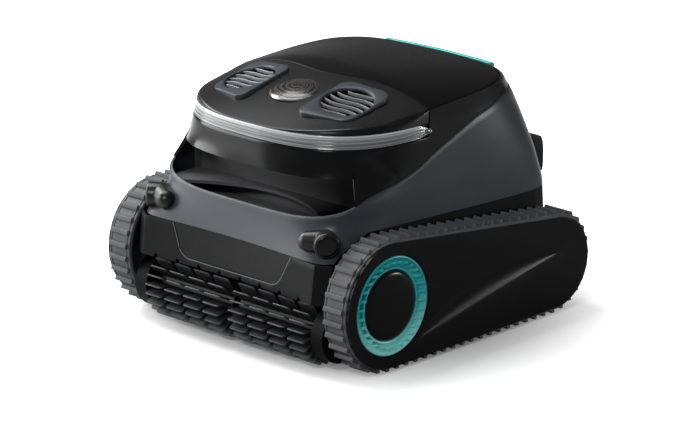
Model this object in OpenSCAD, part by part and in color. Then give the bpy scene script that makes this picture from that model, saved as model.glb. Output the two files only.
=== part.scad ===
// Cordless pool cleaner with two rubber tracks, a split front brush, two
// water jets on top and a hinged lid over a lift-out filter basket.
// Frame: +Z up, -Y is the front, X runs across the tracks. The origin is on
// the floor under the middle of the tracks. All sizes are in millimetres.

/* [Tracks] */
// Width over the covers of both tracks
track_span = 400; // [396:1:412]
// Width of one rubber belt
belt_w = 34.5; // [33:0.5:35]
// Thickness of the belt band
belt_t = 4; // [3:0.5:5]
// Height of a cleat above the band
cleat_h = 4.8; // [4:0.1:6]
// Length of a cleat along the belt, at its root
cleat_len = 7; // [5:0.5:9]
// Bare edge of the band beside the cleats
cleat_edge = 3; // [1:0.5:5]
// Spacing aimed at between cleats
cleat_pitch = 18.5; // [16:0.5:22]
// Outer radius of the band round the front wheel
front_r = 76; // [74:0.5:78]
// Outer radius of the band round the rear wheel
rear_r = 60; // [58:0.5:62]
// Distance between the front and rear axles
wheelbase = 290; // [286:1:300]
// Thickness of the side cover's plate
cover_t = 3; // [2.6:0.2:4]
// Depth of the scooped crease in the side cover
scoop_d = 1.8; // [1:0.1:2]

/* [Wheels] */
// Width of the wheels inside the belts
wheel_w = 24; // [20:1:26]
// Radius of the driven front shaft
shaft_r = 6; // [5:0.5:8]
// Radius of the fixed rear stub axle and the idler pin
stub_r = 5; // [4:0.5:6]
// Outer radius of the coloured ring
ring_outer_r = 59.5; // [56:0.5:62]
// Inner radius of the coloured ring
ring_inner_r = 42.5; // [40:0.5:46]
// Radius of the idler under the frame
idler_r = 20; // [17:0.5:22]

/* [Brush] */
// Radius over the brush fins
brush_r = 42; // [38:0.5:42]
// Radius of the brush core
brush_core_r = 18; // [15:0.5:22]
// Distance of the brush axis in front of the front axle
brush_ahead = 38; // [37:0.5:40]
// Gap between the fins and the floor
brush_floor = 3; // [2.5:0.5:5]
// Rows of fins round a brush half
fin_rows = 10; // [8:1:11]
// Columns of fins along a brush half
fin_cols = 4; // [3:1:5]
// Thickness of a fin
fin_t = 2.6; // [2:0.2:3.4]
// Radius of the brush's end journals
journal_r = 4; // [3:0.5:5]

/* [Body] */
// Height of the crown of the lid above the floor
crown_z = 307; // [305:1:310]
// Height of the bumper's lower edge
bumper_z = 133; // [131:1:136]
// Height of the bumper's upper lip at the middle
lip_z = 173; // [170:1:176]
// Height of the recess between the lip and the visor
recess_h = 47; // [44:1:50]
// Height of the visor above the recess
visor_h = 32; // [30:1:34]
// Height of the light strip
strip_h = 15.5; // [14:0.5:17]
// Width of the body's side left beside the recess under the visor
recess_side = 19; // [18:1:22]
// Wall thickness of the moulded shells
wall = 3.2; // [2.6:0.2:4]
// Gap between the body's side and the belt
side_gap = 2; // [1.5:0.5:3]

/* [Lid and top] */
// Thickness of the lid and the top panel
lid_t = 3; // [2.4:0.2:4]
// Gap along the seam in front of the lid
seam_gap = 0.6; // [0.4:0.1:1]
// Radius of the hinge barrel behind the lid
hinge_r = 4.2; // [3.8:0.1:4.4]
// Half length of the hinge barrel
hinge_half = 62; // [56:1:66]
// Radius of a jet's opening
jet_r = 29; // [27:0.5:30]
// Width of the top lens
lens_w = 68; // [60:1:70]

/* [Fits] */
// Running clearance on the radius of shafts and pins
run_gap = 0.05; // [0.04:0.01:0.08]
// Gap between pieces that seat on each other
seat_gap = 0.3; // [0.2:0.05:0.4]

/* [Hidden] */
$fn = 48;
front_tip = front_r + cleat_h;
rear_tip = rear_r + cleat_h;
front_y = -(wheelbase + rear_tip - front_tip) / 2;
rear_y = front_y + wheelbase;
half_span = track_span / 2;
belt_x1 = half_span - cover_t - 0.5;
belt_x0 = belt_x1 - belt_w;
body_hw = belt_x0 - side_gap;
recess_half_w = body_hw - recess_side;
wheel_x1 = belt_x1 - 6.5;
wheel_x0 = wheel_x1 - wheel_w;
belt_in = belt_t + seat_gap;

// The body's datum between its rounded front and rear halves
mid_y = front_y + 110;
strip_z0 = lip_z + recess_h + visor_h;
strip_z1 = strip_z0 + strip_h;
visor_z = lip_z + recess_h;

// Inner frame: a tub between the tracks and cases bolted to its sides
tub_hw = body_hw - 23;
case_x0 = tub_hw + seat_gap;
case_x1 = body_hw - 4;
floor_z = 14;
deck_z = 150;
skin = 3.5;
brush_y = front_y - brush_ahead;
brush_z = brush_r + brush_floor;
motor_y = front_y + 48;
motor_z = front_tip + 3;
frame_front_y = front_y + 98;
frame_rise = 4;
idler_y = front_y + 150;
idler_z = cleat_h + belt_in + idler_r;

// Pumps and filter
jet_x = body_hw / 2;
jet_y = front_y + 49;
lens_y = front_y + 46;
pump_z = 226;
motor_r = 21;
bay_y0 = front_y + 98;
bay_y1 = rear_y - 22;
bay_hw = jet_x + jet_r + 7;
bay_z0 = 60;
bay_z1 = 268;
mouth_hw = 60;
mouth_y0 = front_y + 122;
mouth_y1 = front_y + 156;
pin_r = 2;

// ---------------------------------------------------------------- helpers

// Draws a (y, z) outline and extrudes it along X from x0 for length w
module along_x(x0, w) {
    translate([x0, 0, 0])
        rotate([90, 0, 90])
            linear_extrude(w) children();
}

// Turns a profile of (radius, x) points about an axis along X
module turn_x(y, z) {
    translate([0, y, z])
        rotate([0, 90, 0])
            rotate_extrude($fn = 96) children();
}

// The left side is the mirror of the right
module on_side(s) {
    mirror([s < 0 ? 1 : 0, 0, 0]) children();
}

// Corner points of a loop round two circles, in (y, z)
function loop_pts(y1, z1, r1, y2, z2, r2, step = 6) =
    let (d = norm([y2 - y1, z2 - z1]))
    let (b = atan2(z2 - z1, y2 - y1))
    let (a = acos((r1 - r2) / d))
    let (n2 = ceil(2 * a / step))
    let (n1 = ceil((360 - 2 * a) / step))
    concat(
        [for (k = [0 : n2]) let (t = b - a + 2 * a * k / n2)
            [y2 + r2 * cos(t), z2 + r2 * sin(t)]],
        [for (k = [0 : n1]) let (t = b + a + (360 - 2 * a) * k / n1)
            [y1 + r1 * cos(t), z1 + r1 * sin(t)]]);

// Loop that follows the belt at an offset from the band's outer surface
function belt_loop(df, dr) =
    loop_pts(front_y, front_tip, front_r + df, rear_y, rear_tip, rear_r + dr);

// Corner points of a rounded rectangle
function rounded_rect(x0, y0, x1, y1, r) =
    [for (c = [[x1 - r, y1 - r, 0], [x0 + r, y1 - r, 90],
               [x0 + r, y0 + r, 180], [x1 - r, y0 + r, 270]], k = [0 : 5])
        [c[0] + r * cos(c[2] + 18 * k), c[1] + r * sin(c[2] + 18 * k)]];

// ------------------------------------------------------------ body surface

// Rows of the body: share of the height from the bumper's edge to the crown,
// inset of the side, reach ahead of the front axle, reach behind the rear
// axle, front and rear roundness, and how far the front face is scooped
BODY = [
    [0.00, 0, 67, 53, 11, 8, 8],
    [0.14, 0.5, 53, 49, 6.5, 8, 2.5],
    [0.23, 1, 46, 44, 5.5, 7.8, 0],
    [0.33, 1.5, 45.3, 39, 5.9, 7.4, 0],
    [0.38, 2, 45, 36.5, 4.8, 7.2, 0],
    [0.44, 2.5, 43.5, 33, 3.9, 6.8, 0],
    [0.50, 3, 42, 29.5, 3.2, 6.4, 0],
    [0.68, 5, 37, 22, 2.85, 5.1, 0],
    [0.77, 6, 35, 17.6, 2.7, 4.6, 0],
    [0.81, 6.2, 34, 14.6, 2.7, 4.4, 0],
    [0.87, 6.5, 33, 6, 2.7, 4.4, 0],
    [0.93, 7, 32, -1, 2.7, 4.4, 0],
    [1.00, 8, 30, -8, 2.7, 4.4, 0]
];
function body_share(z) = (z - bumper_z) / (crown_z - bumper_z);
function body_col(z, k) = lookup(body_share(z), [for (r = BODY) [r[0], r[k]]]);
function body_rear(z) = rear_y + body_col(z, 3);
function body_front(z) = front_y - body_col(z, 2);

// Point of the body's outline at height z. Angle p runs from -90 at the front
// to 90 at the rear, on the side given by s, with the outline moved in by t
function body_xy(s, p, z, t) =
    let (n = body_col(z, p < 0 ? 4 : 5))
    let (r = pow(pow(max(cos(p), 0), n) + pow(abs(sin(p)), n), -1 / n))
    let (c = r * max(cos(p), 0), q = r * abs(sin(p)))
    let (reach = p < 0 ? mid_y - body_front(z) : body_rear(z) - mid_y)
    let (x = (body_hw - body_col(z, 1) - t) * c)
    let (scoop = p < 0 ? body_col(z, 6) * max(0, 1 - pow(x / recess_half_w, 2)) : 0)
    [s * x, mid_y + sign(p) * (reach - t) * q + scoop];

// Outline of the body at height z as a closed list
function body_plan(z, t, step = 6) =
    concat([for (p = [-90 : step : 90]) body_xy(1, p, z, t)],
           [for (p = [90 - step : -step : -90 + step]) body_xy(-1, p, z, t)]);

// Height of the crease at the top edge of the sides
CREST = [
    [-35, 0], [0, 1.7], [40, 4.6], [75, 9.8], [110, 15.3], [145, 17.8],
    [180, 19.6], [215, 20.9], [250, 21.6], [330, 21.6]
];
function crest_z(y) = strip_z1 + 0.5 + lookup((y - front_y) * 290 / wheelbase, CREST);

// Height of the crown over (x, y), which peaks a little in front of the middle
crown_hw = body_hw - 7;
crown_peak_y = front_y + 131.6;
lid_rear = rear_y - 7.8;
function ridge_z(y) =
    y < crown_peak_y
        ? crown_z - (crown_z - strip_z1 - 0.5)
            * pow((crown_peak_y - y) / (crown_peak_y - body_front(strip_z1)), 1.52)
        : crown_z - 10.3 * pow((y - crown_peak_y) / (lid_rear - crown_peak_y), 1.37);
function crown_top(x, y) =
    ridge_z(y) - (ridge_z(y) - crest_z(y)) * pow(abs(x) / crown_hw, 2.43);

// Point of the lid's edge on side s at angle p, moved out by g
function lid_xy(s, p, g) =
    let (r = pow(pow(max(cos(p), 0), 4.4) + pow(abs(sin(p)), 4.4), -1 / 4.4))
    [s * (crown_hw + g) * r * max(cos(p), 0), mid_y + (lid_rear + g - mid_y) * r * sin(p)];
function lid_edge_z(p) = let (q = lid_xy(1, p, 0)) crown_top(q[0], q[1]);

// Line between the bumper's side and the black shell above it
SWEEP = [
    [-46, 0], [-37, 4.5], [-10, 17], [5, 25], [30, 31.5], [60, 38], [89, 47],
    [118, 60], [149, 71], [180, 82], [203, 89], [225, 93], [250, 98], [330, 108]
];
function sweep_z(y) = lip_z + lookup((y - front_y) * 290 / wheelbase, SWEEP);

// Axis of the lid's hinge, in a pocket behind the lid's rear edge
hinge_y = lid_rear + 5;
hinge_z = ridge_z(lid_rear) - 9;

// Solid between an outer and an inner grid of points, by columns
module loft(outer, inner, ring = false) {
    n = len(outer);
    m = len(outer[0]);
    o = n * m;
    last = ring ? n - 1 : n - 2;
    faces = concat(
        [for (i = [0 : last], j = [0 : m - 2]) let (k = (i + 1) % n)
            [i * m + j, i * m + j + 1, k * m + j + 1, k * m + j]],
        [for (i = [0 : last], j = [0 : m - 2]) let (k = (i + 1) % n)
            [o + k * m + j, o + k * m + j + 1, o + i * m + j + 1, o + i * m + j]],
        [for (i = [0 : last]) let (k = (i + 1) % n)
            [i * m, k * m, o + k * m, o + i * m]],
        [for (i = [0 : last]) let (k = (i + 1) % n)
            [i * m + m - 1, o + i * m + m - 1, o + k * m + m - 1, k * m + m - 1]],
        ring ? [] : [for (j = [0 : m - 2]) [j, o + j, o + j + 1, j + 1]],
        ring ? [] : [for (j = [0 : m - 2]) let (e = (n - 1) * m)
            [e + j, e + j + 1, o + e + j + 1, o + e + j]]);
    polyhedron(concat([for (c = outer) each c], [for (c = inner) each c]), faces);
}

function body_at(s, p, z, t) = let (q = body_xy(s, p, z, t)) [q[0], q[1], z];

// Wall along the body between two heights. Each column is
// [side, angle, lower height, upper height]; the top edge is bevelled in
module body_wall(cols, t, rows, bevel = 0) {
    outer = [for (c = cols) concat(
        [for (j = [0 : rows - 1])
            body_at(c[0], c[1], c[2] + (c[3] - bevel - c[2]) * j / max(rows - 1, 1), 0)],
        [body_at(c[0], c[1], c[3], bevel)])];
    inner = [for (c = cols) concat(
        [for (j = [0 : rows - 1])
            body_at(c[0], c[1], c[2] + (c[3] - bevel - c[2]) * j / max(rows - 1, 1), t)],
        [body_at(c[0], c[1], c[3], t)])];
    loft(outer, inner);
}

// Both sides of a list of right-hand columns that starts at the front middle
function both_sides(right) =
    concat([for (k = [len(right) - 1 : -1 : 1])
               [-1, right[k][1], right[k][2], right[k][3]]], right);

// Slab under the crown's surface, over a grid wider than the body
module crown_slab(t) {
    nx = 16;
    ny = 18;
    x1 = body_hw - 4;
    y0 = body_front(strip_z1) - 4;
    y1 = lid_rear + 4;
    m = ny + 1;
    pts = [for (u = [0 : nx], v = [0 : ny])
        let (x = x1 * (2 * u / nx - 1))
        let (y = y0 + (y1 - y0) * v / ny)
        [x, y, crown_top(x, y)]];
    low = [for (p = pts) [p[0], p[1], p[2] - t]];
    o = (nx + 1) * m;
    faces = concat(
        [for (u = [0 : nx - 1], v = [0 : ny - 1])
            [u * m + v, (u + 1) * m + v, (u + 1) * m + v + 1, u * m + v + 1]],
        [for (u = [0 : nx - 1], v = [0 : ny - 1])
            [o + u * m + v + 1, o + (u + 1) * m + v + 1, o + (u + 1) * m + v, o + u * m + v]],
        [for (u = [0 : nx - 1]) [u * m, o + u * m, o + (u + 1) * m, (u + 1) * m]],
        [for (u = [0 : nx - 1])
            [(u + 1) * m + ny, o + (u + 1) * m + ny, o + u * m + ny, u * m + ny]],
        [for (v = [0 : ny - 1]) [v + 1, o + v + 1, o + v, v]],
        [for (v = [0 : ny - 1])
            [nx * m + v, o + nx * m + v, o + nx * m + v + 1, nx * m + v + 1]]);
    polyhedron(concat(pts, low), [for (f = faces) [f[3], f[2], f[1], f[0]]]);
}

// Seam in front of the lid, curved forward at the middle
function seam_y(x) = mid_y - 8 - 8 * cos(min(abs(x) / 105, 1) * 180);
function seam_line(dy, dir) =
    [for (k = [-8 : 8]) let (x = dir * k * 17.5) [x, seam_y(x) + dy]];

// Places children on the crown, tilted to its slope
module on_crown(x, y, lift) {
    h = 6;
    dx = (crown_top(x + h, y) - crown_top(x - h, y)) / (2 * h);
    dy = (crown_top(x, y + h) - crown_top(x, y - h)) / (2 * h);
    translate([x, y, crown_top(x, y)])
        rotate([atan(dy), -atan(dx), 0]) translate([0, 0, lift]) children();
}

// ------------------------------------------------------------------ chassis

// Side outline of the lower tub, with the brush housing's arch at its front
function tub_side(i) = concat(
    [[rear_y + 22 - i, floor_z + i], [rear_y + 36 - i, 34 + i],
     [rear_y + 40 - i, 113], [front_y - 54 + i, 113], [front_y - 56 + i, 94 + i]],
    [for (t = [84 : -9 : -33])
        [brush_y + (brush_r + 4 + i) * cos(t), brush_z + (brush_r + 4 + i) * sin(t)]],
    [[front_y + 6 + i, floor_z + i]]);

module shoulder(i) {
    intersection() {
        along_x(-body_hw, 2 * body_hw) polygon([
            [front_y - 56 + i, 111 + i], [rear_y + 45 - i, 111 + i],
            [rear_y + 44 - i, deck_z + 10 * i], [front_y - 50 + i, deck_z + 10 * i]]);
        translate([0, 0, 100 + i])
            linear_extrude(100) polygon(body_plan(deck_z + 2, wall + seat_gap + i));
    }
}

// Band under the body's sides, flush with them up to the bumper's lower edge
module skirt() {
    right = [for (p = [-35, -30, -20, -8, 4, 16, 27, 35, 40, 44, 46.5, bumper_end - 0.2])
        [1, p, 112, bumper_low(p) - seat_gap]];
    left = [for (k = [len(right) - 1 : -1 : 0])
        [-1, right[k][1], right[k][2], right[k][3]]];
    body_wall(right, 6, 2);
    body_wall(left, 6, 2);
}

module chassis() {
    color("#17191b")
    difference() {
        union() {
            along_x(-tub_hw, 2 * tub_hw) polygon(tub_side(0));
            shoulder(0);
            skirt();
        }
        along_x(-tub_hw + skin, 2 * (tub_hw - skin)) polygon(tub_side(skin));
        shoulder(skin);
        translate([-tub_hw + skin, front_y - 44, 100])
            cube([2 * (tub_hw - skin), wheelbase + 76, 20]);
        for (s = [-1, 1])
            on_side(s)
                turn_x(motor_y, motor_z)
                    polygon([[0, tub_hw - 6], [22 + seat_gap, tub_hw - 6],
                             [22 + seat_gap, tub_hw + 2], [0, tub_hw + 2]]);
        translate([-mouth_hw, mouth_y0, floor_z - 1])
            cube([2 * mouth_hw, mouth_y1 - mouth_y0, skin + 2]);
        for (s = [-1, 1]) at_pod(s) pod_solid(seat_gap);
    }
}

module bottom_plate() {
    plate_t = 3.5;
    color("#1d2023")
    difference() {
        translate([0, 0, floor_z - plate_t])
            linear_extrude(plate_t)
                polygon(rounded_rect(-tub_hw + 12, front_y + 12, tub_hw - 12,
                                     rear_y + 14, 14));
        translate([-mouth_hw, mouth_y0, floor_z - plate_t - 1])
            cube([2 * mouth_hw, mouth_y1 - mouth_y0, plate_t + 2]);
        for (x = [-1, 1], y = [front_y + 28, mouth_y1 + 24, rear_y - 4])
            translate([x * (tub_hw - 26), y, floor_z - plate_t - 1])
                cylinder(r = 2.2, h = plate_t + 2, $fn = 24);
    }
}

// ------------------------------------------------------------------- tracks

module belt_band() {
    along_x(belt_x0, belt_w)
        difference() {
            polygon(belt_loop(0, 0));
            polygon(belt_loop(-belt_t, -belt_t));
        }
}

// Place and outward angle at a length along the belt's outer surface
function belt_at(d) =
    let (span = norm([wheelbase, front_r - rear_r]))
    let (b = atan2(rear_tip - front_tip, wheelbase))
    let (a = acos((front_r - rear_r) / span))
    let (run = span * sin(a))
    let (arc2 = 2 * a * PI / 180 * rear_r)
    let (arc1 = (360 - 2 * a) * PI / 180 * front_r)
    d < arc2 ? let (t = b - a + d / rear_r * 180 / PI)
        [rear_y + rear_r * cos(t), rear_tip + rear_r * sin(t), t]
    : d < arc2 + run ? let (t = b + a) let (e = d - arc2)
        [rear_y + rear_r * cos(t) - e * sin(t), rear_tip + rear_r * sin(t) + e * cos(t), t]
    : d < arc2 + run + arc1 ? let (t = b + a + (d - arc2 - run) / front_r * 180 / PI)
        [front_y + front_r * cos(t), front_tip + front_r * sin(t), t]
    : let (t = b - a) let (e = d - arc2 - run - arc1)
        [front_y + front_r * cos(t) - e * sin(t), front_tip + front_r * sin(t) + e * cos(t), t];
function belt_length() =
    let (span = norm([wheelbase, front_r - rear_r]))
    let (a = acos((front_r - rear_r) / span))
    2 * span * sin(a) + (2 * a * rear_r + (360 - 2 * a) * front_r) * PI / 180;

module belt() {
    count = round(belt_length() / cleat_pitch);
    color("#6b7076") {
        belt_band();
        along_x(belt_x0 + cleat_edge, belt_w - 2 * cleat_edge)
            for (k = [0 : count - 1]) {
                p = belt_at((k + 0.5) * belt_length() / count);
                translate([p[0], p[1]])
                    rotate(p[2])
                        polygon([[-1, -cleat_len / 2], [cleat_h, -cleat_len * 0.3],
                                 [cleat_h, cleat_len * 0.3], [-1, cleat_len / 2]]);
            }
    }
}

// Side cover: a plate over the belt's edge with posts to the track frame
module track_cover() {
    face = half_span;
    a = [front_y + 46, 31];
    b = [rear_y, 78];
    mid = [front_y + 165, 50];
    color("#1a1c1e")
    difference() {
        union() {
            along_x(face - cover_t, cover_t) polygon(belt_loop(-1.5, -4));
            along_x(wheel_x1 + 1, face - cover_t - wheel_x1 - 0.5)
                difference() {
                    polygon(belt_loop(-belt_t - 1, -belt_t - 1));
                    polygon(belt_loop(-belt_t - 3.5, -belt_t - 3.5));
                }
            for (u = [0.02, 0.36, 0.66])
                turn_x(frame_front_y + u * (rear_y - frame_front_y),
                       front_tip + frame_rise + u * (rear_tip - front_tip - frame_rise))
                    polygon([[0, case_x1], [5, case_x1], [5, face - 1], [0, face - 1]]);
        }
        turn_x(front_y, front_tip)
            polygon([[0, face - 20], [ring_outer_r + 1, face - 20],
                     [ring_outer_r + 1, face + 1], [0, face + 1]]);
        polyhedron(
            [[face + 0.2, a[0], a[1]], [face + 0.2, b[0], b[1]],
             [face - scoop_d, mid[0], mid[1]], [face + 0.2, mid[0], mid[1] + 32],
             [face + 4, mid[0], mid[1] + 8]],
            [[0, 1, 2], [0, 2, 3], [2, 1, 3], [0, 4, 1], [1, 4, 3], [3, 4, 0]]);
    }
}

module track_frame() {
    color("#202326")
    difference() {
        union() {
            along_x(case_x0, case_x1 - case_x0)
                polygon(loop_pts(frame_front_y, front_tip + frame_rise, 18,
                                 rear_y, rear_tip, 19));
            along_x(case_x0, case_x1 - case_x0)
                polygon(loop_pts(idler_y, idler_z, 12, idler_y + 0.1, idler_z + 50, 11.9));
            turn_x(rear_y, rear_tip)
                polygon([[0, case_x1 - 4], [stub_r, case_x1 - 4],
                         [stub_r, wheel_x1 - 1], [0, wheel_x1 - 1]]);
            turn_x(idler_y, idler_z)
                polygon([[0, case_x1 - 4], [stub_r, case_x1 - 4],
                         [stub_r, wheel_x1 - 1], [0, wheel_x1 - 1]]);
        }
        along_x(case_x0 + 4, case_x1)
            polygon(loop_pts(frame_front_y + 78, front_tip - 1, 9,
                             rear_y - 42, rear_tip + 2, 8));
    }
}

// Sealed drive: motor can, and a gear case that carries the wheel and brush
module drive_case() {
    color("#141517")
    difference() {
        union() {
            along_x(case_x0, case_x1 - case_x0) {
                polygon(loop_pts(brush_y, brush_z, brush_r - 8, front_y, front_tip, 22));
                polygon(loop_pts(front_y, front_tip, 22, motor_y, motor_z, 25));
            }
            turn_x(motor_y, motor_z)
                polygon([[0, tub_hw - 60], [22, tub_hw - 60], [22, case_x0 + 1], [0, case_x0 + 1]]);
        }
        turn_x(front_y, front_tip)
            polygon([[0, case_x0 + 3], [shaft_r + run_gap, case_x0 + 3],
                     [shaft_r + run_gap, case_x1 + 1], [0, case_x1 + 1]]);
        turn_x(brush_y, brush_z)
            polygon([[0, case_x0 - 1], [journal_r + run_gap, case_x0 - 1],
                     [journal_r + run_gap, case_x0 + 10], [0, case_x0 + 10]]);
    }
}

// ------------------------------------------------------------------- wheels

module front_wheel() {
    rim = front_r - belt_in;
    color("#2a2d30")
        turn_x(front_y, front_tip)
            polygon([
                [0, case_x0 + 4], [shaft_r, case_x0 + 4], [shaft_r, case_x1 + 0.5],
                [15, case_x1 + 0.5], [17, wheel_x1 - 7], [rim - 7, wheel_x1 - 7],
                [rim - 7, wheel_x0], [rim, wheel_x0], [rim, wheel_x1],
                [ring_outer_r + 1, wheel_x1], [ring_outer_r - 1, wheel_x1 - 1], [0, wheel_x1 - 1]]);
}

module wheel_ring() {
    color("#27a9b0")
        turn_x(front_y, front_tip)
            polygon([
                [ring_inner_r, wheel_x1 - 1], [ring_outer_r - 1, wheel_x1 - 1],
                [ring_outer_r, half_span - cover_t], [ring_outer_r - 1.5, half_span - 1.5],
                [ring_inner_r + 1, half_span - 2.5], [ring_inner_r, half_span - 3.5]]);
}

module hub_cap() {
    r = ring_inner_r - 0.3;
    face = half_span - 0.5;
    color("#101113")
        turn_x(front_y, front_tip)
            polygon(concat([[0, wheel_x1 - 1], [r, wheel_x1 - 1], [r, face - 4.5]],
                [for (t = [15 : 15 : 90])
                    [r - 7 + 7 * cos(t), face - 4.5 + 3 * sin(t)]],
                [[r * 0.5, face - 0.6], [0, face]]));
}

module plain_wheel(y, z, rim, web) {
    color("#2a2d30")
        turn_x(y, z)
            polygon([
                [stub_r + run_gap, wheel_x0 - 2], [stub_r + 7, wheel_x0 - 2],
                [stub_r + 7, (wheel_x0 + wheel_x1 - web) / 2],
                [rim - 5, (wheel_x0 + wheel_x1 - web) / 2], [rim - 5, wheel_x0],
                [rim, wheel_x0], [rim, wheel_x1], [rim - 5, wheel_x1],
                [rim - 5, (wheel_x0 + wheel_x1 + web) / 2],
                [stub_r + 7, (wheel_x0 + wheel_x1 + web) / 2],
                [stub_r + 7, wheel_x1], [stub_r + run_gap, wheel_x1]]);
}
module rear_wheel() { plain_wheel(rear_y, rear_tip, rear_r - belt_in, 6); }
module idler() { plain_wheel(idler_y, idler_z, idler_r, 12); }

// -------------------------------------------------------------------- brush

bracket_t = 7;

module brush() {
    x0 = bracket_t / 2 + 1.5;
    x1 = case_x0 - 2;
    pitch = (x1 - x0) / fin_cols;
    half = pitch * 0.47;
    color("#565b60") {
        turn_x(brush_y, brush_z)
            polygon([
                [0, 0.8], [journal_r, 0.8], [journal_r, x0], [brush_core_r - 2, x0],
                [brush_core_r, x0 + 2], [brush_core_r, x1 - 2], [brush_core_r - 2, x1],
                [journal_r, x1], [journal_r, case_x0 + 9], [0, case_x0 + 9]]);
        for (c = [0 : fin_cols - 1], k = [0 : fin_rows - 1])
            translate([x0 + pitch * (c + 0.5), brush_y, brush_z])
                rotate([(k + (c % 2) / 2) * 360 / fin_rows, 0, 0])
                    translate([0, -fin_t / 2, 0])
                        rotate([90, 0, 0]) translate([0, 0, -fin_t])
                            linear_extrude(fin_t) polygon([
                                [-half * 0.55, brush_core_r - 1.5], [half * 0.55, brush_core_r - 1.5],
                                [half, brush_r - 13], [half * 0.9, brush_r - 6],
                                [half * 0.45, brush_r - 1.2], [0, brush_r - 0.2],
                                [-half * 0.45, brush_r - 1.2], [-half * 0.9, brush_r - 6],
                                [-half, brush_r - 13]]);
    }
}

module brush_bracket() {
    color("#141517")
    difference() {
        along_x(-bracket_t / 2, bracket_t)
            difference() {
                intersection() {
                    polygon(loop_pts(brush_y, brush_z, 11, front_y + 8, brush_z + 6, 11));
                    translate([brush_y, brush_z]) circle(r = brush_r + 4 - seat_gap);
                }
                translate([brush_y, brush_z]) circle(r = journal_r + run_gap);
            }
    }
}

// Comb between the front panel and the brush
module brush_guard() {
    slots = 8;
    y1 = front_y - 56 - seat_gap;
    color("#0f1011")
    difference() {
        along_x(-tub_hw + 3, 2 * (tub_hw - 3))
            polygon([[y1, 84], [y1 - 3.2, 84], [y1 - 3.2, 88.5], [y1 - 1, 103], [y1, 103]]);
        for (k = [0 : slots - 1])
            translate([(k - (slots - 1) / 2) * 34 - 2.5, y1 - 6, 83])
                cube([5, 7, 6]);
    }
}

// -------------------------------------------------------------- front faces

panel_z0 = 86;

// Depth of the front panel's face ahead of the front axle at (x, height z)
function panel_y(x, z) =
    let (u = (bumper_z - z) / (bumper_z - panel_z0))
    let (w = min(abs(x) / recess_half_w, 1))
    let (corner = max(0, abs(x) - recess_half_w) * 0.62)
    front_y - (lookup(u, [[0, 59], [1, 66]]) + 9 * w * w) + corner;
window_tilt = atan2(7, bumper_z - panel_z0);

module panel_skin(t0, t1, z0, z1) {
    xs = concat([-body_hw + 2, -recess_half_w], [for (k = [-5 : 5]) k * 24],
                [recess_half_w, body_hw - 2]);
    n = len(xs);
    pts = concat([for (x = xs) [x, panel_y(x, z0) + t0, z0]],
                 [for (x = xs) [x, panel_y(x, z1) + t0, z1]],
                 [for (x = xs) [x, panel_y(x, z0) + t1, z0]],
                 [for (x = xs) [x, panel_y(x, z1) + t1, z1]]);
    faces = concat(
        [for (i = [0 : n - 2]) [i, i + 1, n + i + 1, n + i]],
        [for (i = [0 : n - 2]) [2 * n + i + 1, 2 * n + i, 3 * n + i, 3 * n + i + 1]],
        [for (i = [0 : n - 2]) [i, 2 * n + i, 2 * n + i + 1, i + 1]],
        [for (i = [0 : n - 2]) [n + i, n + i + 1, 3 * n + i + 1, 3 * n + i]],
        [[0, n, 3 * n, 2 * n], [n - 1, 3 * n - 1, 4 * n - 1, 2 * n - 1]]);
    polyhedron(pts, [for (f = faces) [f[3], f[2], f[1], f[0]]]);
}

// Window outline across the front, wider at the top, with round lower corners
function window_pts(i) = concat(
    [[-96 - i, bumper_z + 3 + i], [-98 - i, bumper_z - 1]],
    [for (t = [200 : 14 : 270]) [-66 + (22 + i) * cos(t), 115 + (22 + i) * sin(t)]],
    [for (t = [270 : 14 : 340]) [66 + (22 + i) * cos(t), 115 + (22 + i) * sin(t)]],
    [[98 + i, bumper_z - 1], [96 + i, bumper_z + 3 + i]]);

module front_panel() {
    color("#202326")
    difference() {
        panel_skin(0, 3, panel_z0, bumper_z - seat_gap);
        translate([0, front_y - 20, 0])
            rotate([90, 0, 0]) linear_extrude(80) polygon(window_pts(0));
    }
}

module front_window() {
    color("#33373b")
    translate([0, front_y - 59 + 3 + seat_gap, bumper_z])
        rotate([-window_tilt, 0, 0])
            translate([0, 2.5, -bumper_z])
                rotate([90, 0, 0]) linear_extrude(2.5)
                    intersection() {
                        polygon(window_pts(5));
                        translate([-120, 0]) square([240, bumper_z - 2]);
                    }
}

// --------------------------------------------------------------- upper body

edge_c = recess_half_w / (body_hw - 2.5);
edge_p = -atan2(pow(1 - pow(edge_c, 3.7), 1 / 3.7), edge_c);
bumper_end = 49;

function bumper_low(p) =
    p < -43 ? bumper_z
    : lookup(body_xy(1, p, 150, 0)[1] - front_y, [[-50, 0], [0, 27], [304, 14]]) + bumper_z;
function bumper_top(p) = sweep_z(body_xy(1, p, 205, 0)[1]);

module bumper() {
    right = [for (p = [-90, -81, -73, -66, -60, -55, -51, -48, -45, -42, -39, -35, -30,
                       -24, -17, -9, 0, 10, 19, 27, 34, 39, 42, 44, 46, bumper_end])
        [1, p, bumper_low(p), bumper_top(p)]];
    color("#646d77")
    difference() {
        body_wall(both_sides(right), wall, 5, 2.4);
        for (s = [-1, 1]) at_pod(s) pod_solid(seat_gap);
    }
}

// Columns of the shell: plain where its top is under the light strip, with a
// rim and a ledge for the lid further back
function shell_plain(s, p, lo, hi) = [
    concat([for (j = [0 : 3]) body_at(s, p, lo + (hi - lo) * j / 3, 0)],
           [body_at(s, p, hi, 1)]),
    concat([for (j = [0 : 3]) body_at(s, p, lo + (hi - 1 - lo) * j / 3, wall)],
           [body_at(s, p, hi, wall)])];
function lid_at(s, p, g, drop) =
    let (q = lid_xy(s, p, g)) [q[0], q[1], lid_edge_z(p) - drop];
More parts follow.
